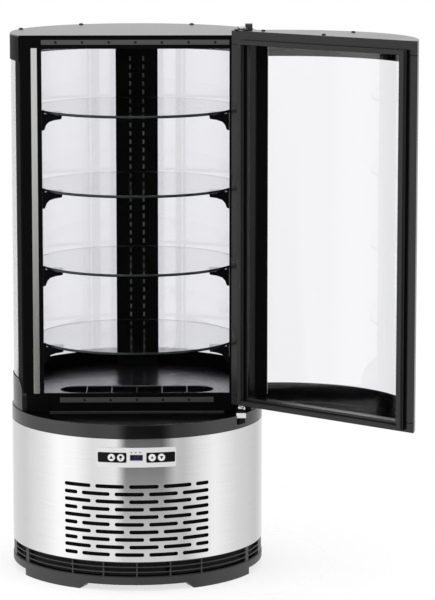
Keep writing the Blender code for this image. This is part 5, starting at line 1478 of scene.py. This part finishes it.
class CAKE_CASE_OT_hinges(CaseOperator):
    """The hinge plates, pins and nuts"""

    bl_idname = "cake_case.hinges"
    bl_label = "Hinges"

    CLIP_HALF = 0.0085
    CLIP_THICK = 0.0006
    CLIP_HEIGHT = 0.0088
    NUT_RADIUS = 0.008
    PIN_RADIUS = 0.0052
    PIN_END = 0.0045

    def build(self, scene):
        made = finishes()
        dress_node("lower_hinge_bracket", made.matt, 0.0005)
        low, high = span("lower_hinge_bracket")
        left, right = PIN.x - self.CLIP_HALF, PIN.x + self.CLIP_HALF
        clip = bar(left, right, low.y - self.CLIP_THICK, low.y, high.z - self.CLIP_HEIGHT, high.z)
        piece("hinge_clip", clip, made.nylon, slot="chrome", ease=0.0002)
        dress_node("upper_hinge_bracket", made.enamel, 0.0006)
        for name, node in (
            ("lower_pin_and_nut", "lower_hinge_pin"), ("upper_pin_and_nut", "upper_hinge_pin")
        ):
            low, high = span(node)
            body = next(
                name for name, nodes in frame["record"]["behaviour"]["bodies"].items() if node in nodes
            )
            self.pin(name, node, body, made, low.z, high.z)

    def pin(self, name, node, body, made, low, high):
        """A hexagon nut with chamfered corners on a turned pin."""
        lower = node == "lower_hinge_pin"
        nut_low, nut_high = (low, low + 0.006) if lower else (high - 0.0037, high)
        radius, thick, end = self.NUT_RADIUS, self.PIN_RADIUS, self.PIN_END
        middle = (nut_low + nut_high) / 2
        nut = plate([circle(radius, 0.0, 0.0, 6)], nut_low, nut_high)
        flat = radius * 0.86
        cone = [(0.0, nut_high), (flat, nut_high), (radius * 1.02, middle), (flat, nut_low), (0.0, nut_low)]
        nut = carved(nut, turned(cone, False, 48), "INTERSECT")
        top = high if lower else nut_high - 0.001
        foot, foot_edge = (nut_low + 0.0004, nut_low + 0.001) if lower else (low, low + 0.0007)
        shaft = [(0.0, top), (end, top), (thick, top - 0.0007), (thick, foot_edge), (end, foot), (0.0, foot)]
        shaft = turned(shaft, False, 48)
        mesh = placed(carved(nut, shaft, "UNION"), Matrix.Translation(PIN))
        piece(name, mesh, made.chrome, body, "chrome", [node])


class CAKE_CASE_OT_machinery(CaseOperator):
    """What shows behind the slots: condenser, fan, motor, compressor and base pan, and dark sheets of painted
    shade behind the louvres and slots
    """

    bl_idname = "cake_case.machinery"
    bl_label = "Machinery"

    # Angles at which the dark screens of painted shade behind the louvres start and end.
    SCREENS = (("right", 146.0, 179.9), ("left", -179.9, -146.0), ("front", -77.0, 77.0))
    MAT_END = 41.0
    MAT_HIGH = 0.196

    def build(self, scene):
        made = finishes()
        inside = BODY_RADIUS - 0.009
        # Dark screens behind the louvres: painted shade.
        for where, start, stop in self.SCREENS:
            outline = rectangle(*along(inside, start, stop), WRAP_LOW - 0.026, WRAP_LOW - 0.001)
            screen = rolled([outline], inside, 0.0005)
            piece(f"shade_screen_{where}", screen, made.coil_paint_and_shade, slot="dark_moulding")
        # A dark mat behind the wrap's front slots: painted shade.
        inside = BODY_RADIUS - 0.005
        mat = rectangle(*along(inside, -self.MAT_END, self.MAT_END), WRAP_LOW + 0.004, self.MAT_HIGH)
        mat = rolled([mat], inside, 0.002)
        piece("shade_mat", mat, made.filter, slot="dark_moulding")
        # Black on the machinery is partly painted shade, so that the slots read dark.
        for name in ("condenser", "fan_shroud", "condenser_motor", "base_pan"):
            dress_node(name, made.coil_paint_and_shade)
        dress_node("condenser_fan", made.coil_paint_and_shade, 0.0003)
        dress_node("compressor", made.can, 0.0008)


# Studio

class CAKE_CASE_OT_studio(CaseOperator):
    """The stage: pale floor, plain soft light and the camera"""

    bl_idname = "cake_case.studio"
    bl_label = "Studio"

    CAMERA_PLACE = (0.0432, -5.3756, 1.3393)
    CAMERA_DOWN = 0.1587
    CAMERA_TURN = 0.0189
    LENS = 182.03
    ROOM_LIGHT = 0.85
    # Brightness round the studio, from straight behind the case by its left, front and right.
    SOFT_BOXES = (
        (0.0, 0.95), (0.06, 0.8), (0.15, 0.77), (0.23, 0.98), (0.285, 1.25), (0.335, 1.2), (0.385, 0.9),
        (0.45, 1.02), (0.582, 0.66), (0.62, 0.62), (0.66, 0.9), (0.71, 1.12), (0.79, 0.84), (0.89, 0.68),
        (1.0, 0.95),
    )
    # How much of that shows from straight down (0) to straight up (1): the floor under the case is in shade.
    FLOOR_SHADE = ((0.0, 0.1), (0.12, 0.2), (0.24, 0.9), (0.3, 1.0))
    # The table in front, by distance from the case's axis and height: white close by, then the dark room.
    TABLE = (
        (0.27, 0.0, 0.84), (0.5, 0.0, 0.77), (0.75, 0.0, 0.62), (1.0, 0.0, 0.4), (1.25, 0.0, 0.12),
        (1.5, 0.0, 0.01), (1.9, 0.0, 0.01), (2.3, 0.0, 0.08), (3.2, 0.0, 0.27), (5.0, 0.0, 0.5),
        (5.0, 0.25, 0.75), (5.0, 0.5, 1.0), (5.0, 0.9, 1.05),
    )
    TABLE_ENDS = ((-17.5, 0.0), (-9.5, 1.0), (6.0, 1.0), (22.0, 1.0), (32.0, 0.0))

    def build(self, scene):
        scene.view_settings.view_transform = "Standard"
        for obj in list(scene.objects):
            if obj.type in ("LIGHT", "CAMERA"):
                bpy.data.objects.remove(obj, do_unlink=True)
        self.camera(scene)
        self.world(scene)
        self.floor(scene)
        self.table(scene)
        self.lamp(scene, "top_panel", (0.0, 0.0, 3.2), (0.0, 0.0, 0.0), 3.0, 34.0)
        self.lamp(scene, "left_panel", (-2.8, -1.4, 1.6), (0.0, 0.0, 0.5), 2.2, 26.0)
        self.lamp(scene, "right_panel", (2.8, -1.4, 1.6), (0.0, 0.0, 0.5), 2.2, 22.0)

    def camera(self, scene):
        camera = bpy.data.objects.new("camera", bpy.data.cameras.new("camera"))
        camera.data.lens = self.LENS
        camera.data.sensor_width = 36.0
        camera.location = CASE @ Vector(self.CAMERA_PLACE)
        camera.rotation_euler = (math.pi / 2 - self.CAMERA_DOWN, 0.0, -self.CAMERA_TURN)
        scene.collection.objects.link(camera)
        scene.camera = camera

    def lamp(self, scene, name, place, target, size, power):
        """A square soft box that lights the object and stays out of its reflections."""
        light = bpy.data.lights.new(name, "AREA")
        light.size = size
        light.energy = power
        obj = bpy.data.objects.new(name, light)
        obj.location = CASE @ Vector(place)
        aim = CASE @ Vector(target) - obj.location
        obj.rotation_euler = aim.to_track_quat("-Z", "Y").to_euler()
        for ray in ("camera", "glossy", "transmission"):
            setattr(obj, f"visible_{ray}", False)
        scene.collection.objects.link(obj)

    def world(self, scene):
        """White all round for the eye and through glass. Gloss sees a studio with soft boxes either side."""
        world = bpy.data.worlds.new("studio")
        world.use_nodes = True
        scene.world = world
        place = add_node(world, "ShaderNodeTexCoord")
        parts = add_node(world, "ShaderNodeSeparateXYZ", {"Vector": place.outputs["Generated"]}).outputs
        turn = worked_out(world, "ARCTAN2", parts["X"], worked_out(world, "MULTIPLY", parts["Y"], -1.0))
        inputs = {"Value": turn, "From Min": -math.pi, "From Max": math.pi}
        share = add_node(world, "ShaderNodeMapRange", inputs)
        height = add_node(world, "ShaderNodeMapRange", {"Value": parts["Z"], "From Min": -1.0})
        around = self.ramp(world, share.outputs["Result"], self.SOFT_BOXES)
        low_down = self.ramp(world, height.outputs["Result"], self.FLOOR_SHADE)
        studio = self.mixed(world, 1.0, around, low_down, blend_type="MULTIPLY")
        path = add_node(world, "ShaderNodeLightPath").outputs
        direct = worked_out(world, "SUBTRACT", path["Is Transmission Ray"], path["Glossy Depth"])
        seen = worked_out(world, "MAXIMUM", path["Is Camera Ray"], direct)
        room = (self.ROOM_LIGHT, self.ROOM_LIGHT, self.ROOM_LIGHT, 1.0)
        unseen = self.mixed(world, path["Is Diffuse Ray"], studio, room)
        colour = self.mixed(world, seen, unseen, (1.0, 1.0, 1.0, 1.0))
        world.node_tree.links.new(colour, world.node_tree.nodes["Background"].inputs["Color"])

    def mixed(self, world, factor, first, second, **settings):
        """Two colours mixed. Sockets 6, 7 and output 2 of the node are its colours."""
        inputs = {"Factor": factor, 6: first, 7: second}
        return add_node(world, "ShaderNodeMix", inputs, data_type="RGBA", **settings).outputs[2]

    def ramp(self, world, source, stops):
        """A grey scale with these (place, brightness) stops."""
        node = add_node(world, "ShaderNodeValToRGB", {"Fac": source})
        elements = node.color_ramp.elements
        for (place, _), element in zip((stops[0], stops[-1]), list(elements)):
            element.position = place
        for place, _ in stops[1:-1]:
            elements.new(place)
        for element, (_, value) in zip(elements, stops):
            element.color = (value, value, value, 1.0)
        return node.outputs["Color"]

    def floor(self, scene):
        """A round white sweep that fades into the background and keeps the object's shadow."""
        mesh = bpy.data.meshes.new("studio_floor")
        with edited(mesh) as shape:
            bmesh.ops.create_circle(shape, cap_ends=True, segments=96, radius=9.0)
        self.stand(scene, mesh)
        material = new_finish("floor_paint", linear("FAFAFA"), 0.9, Specular_IOR_Level=0.0)
        inputs = {0: over_object(material)}
        reach = add_node(material, "ShaderNodeVectorMath", inputs, operation="LENGTH").outputs["Value"]
        inputs = {"Value": reach, "From Min": 0.24, "From Max": 0.7, "To Min": 0.3, "To Max": 0.0}
        near = add_node(material, "ShaderNodeMapRange", inputs, interpolation_type="SMOOTHSTEP")
        path = add_node(material, "ShaderNodeLightPath")
        clear = add_node(material, "ShaderNodeBsdfTransparent")
        keep = worked_out(material, "SUBTRACT", near.outputs["Result"], path.outputs["Is Glossy Ray"])
        keep.node.use_clamp = True
        show_mix(material, keep, clear.outputs["BSDF"], shader_of(material).outputs["BSDF"])
        mesh.materials.append(material)

    def stand(self, scene, mesh):
        """A thing of the stage, under the case's axis."""
        obj = bpy.data.objects.new(mesh.name, mesh)
        obj.location = CASE.translation
        scene.collection.objects.link(obj)
        return obj

    def table(self, scene):
        """What only gloss sees in front: the white table near the case, and the dark room beyond its end."""
        mesh = bpy.data.meshes.new("table_in_front")
        with edited(mesh) as shape:
            glow = shape.verts.layers.float.new("glow")
            cover = shape.verts.layers.float.new("cover")
            columns = []
            for angle, amount in self.TABLE_ENDS:
                columns.append([])
                for radius, z, brightness in self.TABLE:
                    vert = shape.verts.new((*on_arc(radius, angle), z + 0.0005))
                    vert[glow] = brightness
                    vert[cover] = amount if z < 0.6 else 0.0
                    columns[-1].append(vert)
            bridge(shape, list(zip(*columns)), closed=False)
        obj = self.stand(scene, mesh)
        for ray in ("camera", "diffuse", "transmission", "shadow", "volume_scatter"):
            setattr(obj, f"visible_{ray}", False)
        material = new_finish("table_reflection", (0.0, 0.0, 0.0), 1.0)
        material.cycles.emission_sampling = "NONE"
        glow = add_node(material, "ShaderNodeAttribute", attribute_name="glow")
        cover = add_node(material, "ShaderNodeAttribute", attribute_name="cover")
        light = add_node(material, "ShaderNodeEmission", {"Strength": glow.outputs["Fac"]})
        clear = add_node(material, "ShaderNodeBsdfTransparent")
        show_mix(material, cover.outputs["Fac"], clear.outputs["BSDF"], light.outputs["Emission"])
        mesh.materials.append(material)


class CAKE_CASE_PT_panel(bpy.types.Panel):
    """Sizes, colours and steps of the cake display case"""

    bl_idname = "CAKE_CASE_PT_panel"
    bl_label = "Cake display case"
    bl_space_type = "VIEW_3D"
    bl_region_type = "UI"
    bl_category = "Cake case"

    def draw(self, context):
        for group in (context.scene.cake_case_sizes, context.scene.cake_case_colours):
            column = self.layout.column(align=True)
            for name in group.__annotations__:
                column.prop(group, name)
        for operator in OPERATORS:
            self.layout.operator(operator.bl_idname)


OPERATORS = (
    CAKE_CASE_OT_plinth,
    CAKE_CASE_OT_steel_wrap,
    CAKE_CASE_OT_base_cover,
    CAKE_CASE_OT_controls,
    CAKE_CASE_OT_front_frame,
    CAKE_CASE_OT_collar,
    CAKE_CASE_OT_glazing,
    CAKE_CASE_OT_canopy,
    CAKE_CASE_OT_cold_floor,
    CAKE_CASE_OT_shelves,
    CAKE_CASE_OT_light_bars,
    CAKE_CASE_OT_door,
    CAKE_CASE_OT_hinges,
    CAKE_CASE_OT_machinery,
    CAKE_CASE_OT_studio,
)


def register():
    for item in (CaseSizes, CaseColours, *OPERATORS, CAKE_CASE_PT_panel):
        bpy.utils.register_class(item)
    bpy.types.Scene.cake_case_sizes = bpy.props.PointerProperty(type=CaseSizes)
    bpy.types.Scene.cake_case_colours = bpy.props.PointerProperty(type=CaseColours)


def unregister():
    del bpy.types.Scene.cake_case_colours
    del bpy.types.Scene.cake_case_sizes
    for item in reversed((CaseSizes, CaseColours, *OPERATORS, CAKE_CASE_PT_panel)):
        bpy.utils.unregister_class(item)


def main():
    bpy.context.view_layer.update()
    register()
    for operator in OPERATORS:
        group, step = operator.bl_idname.split(".")
        getattr(getattr(bpy.ops, group), step)()


if __name__ == "__main__":
    main()
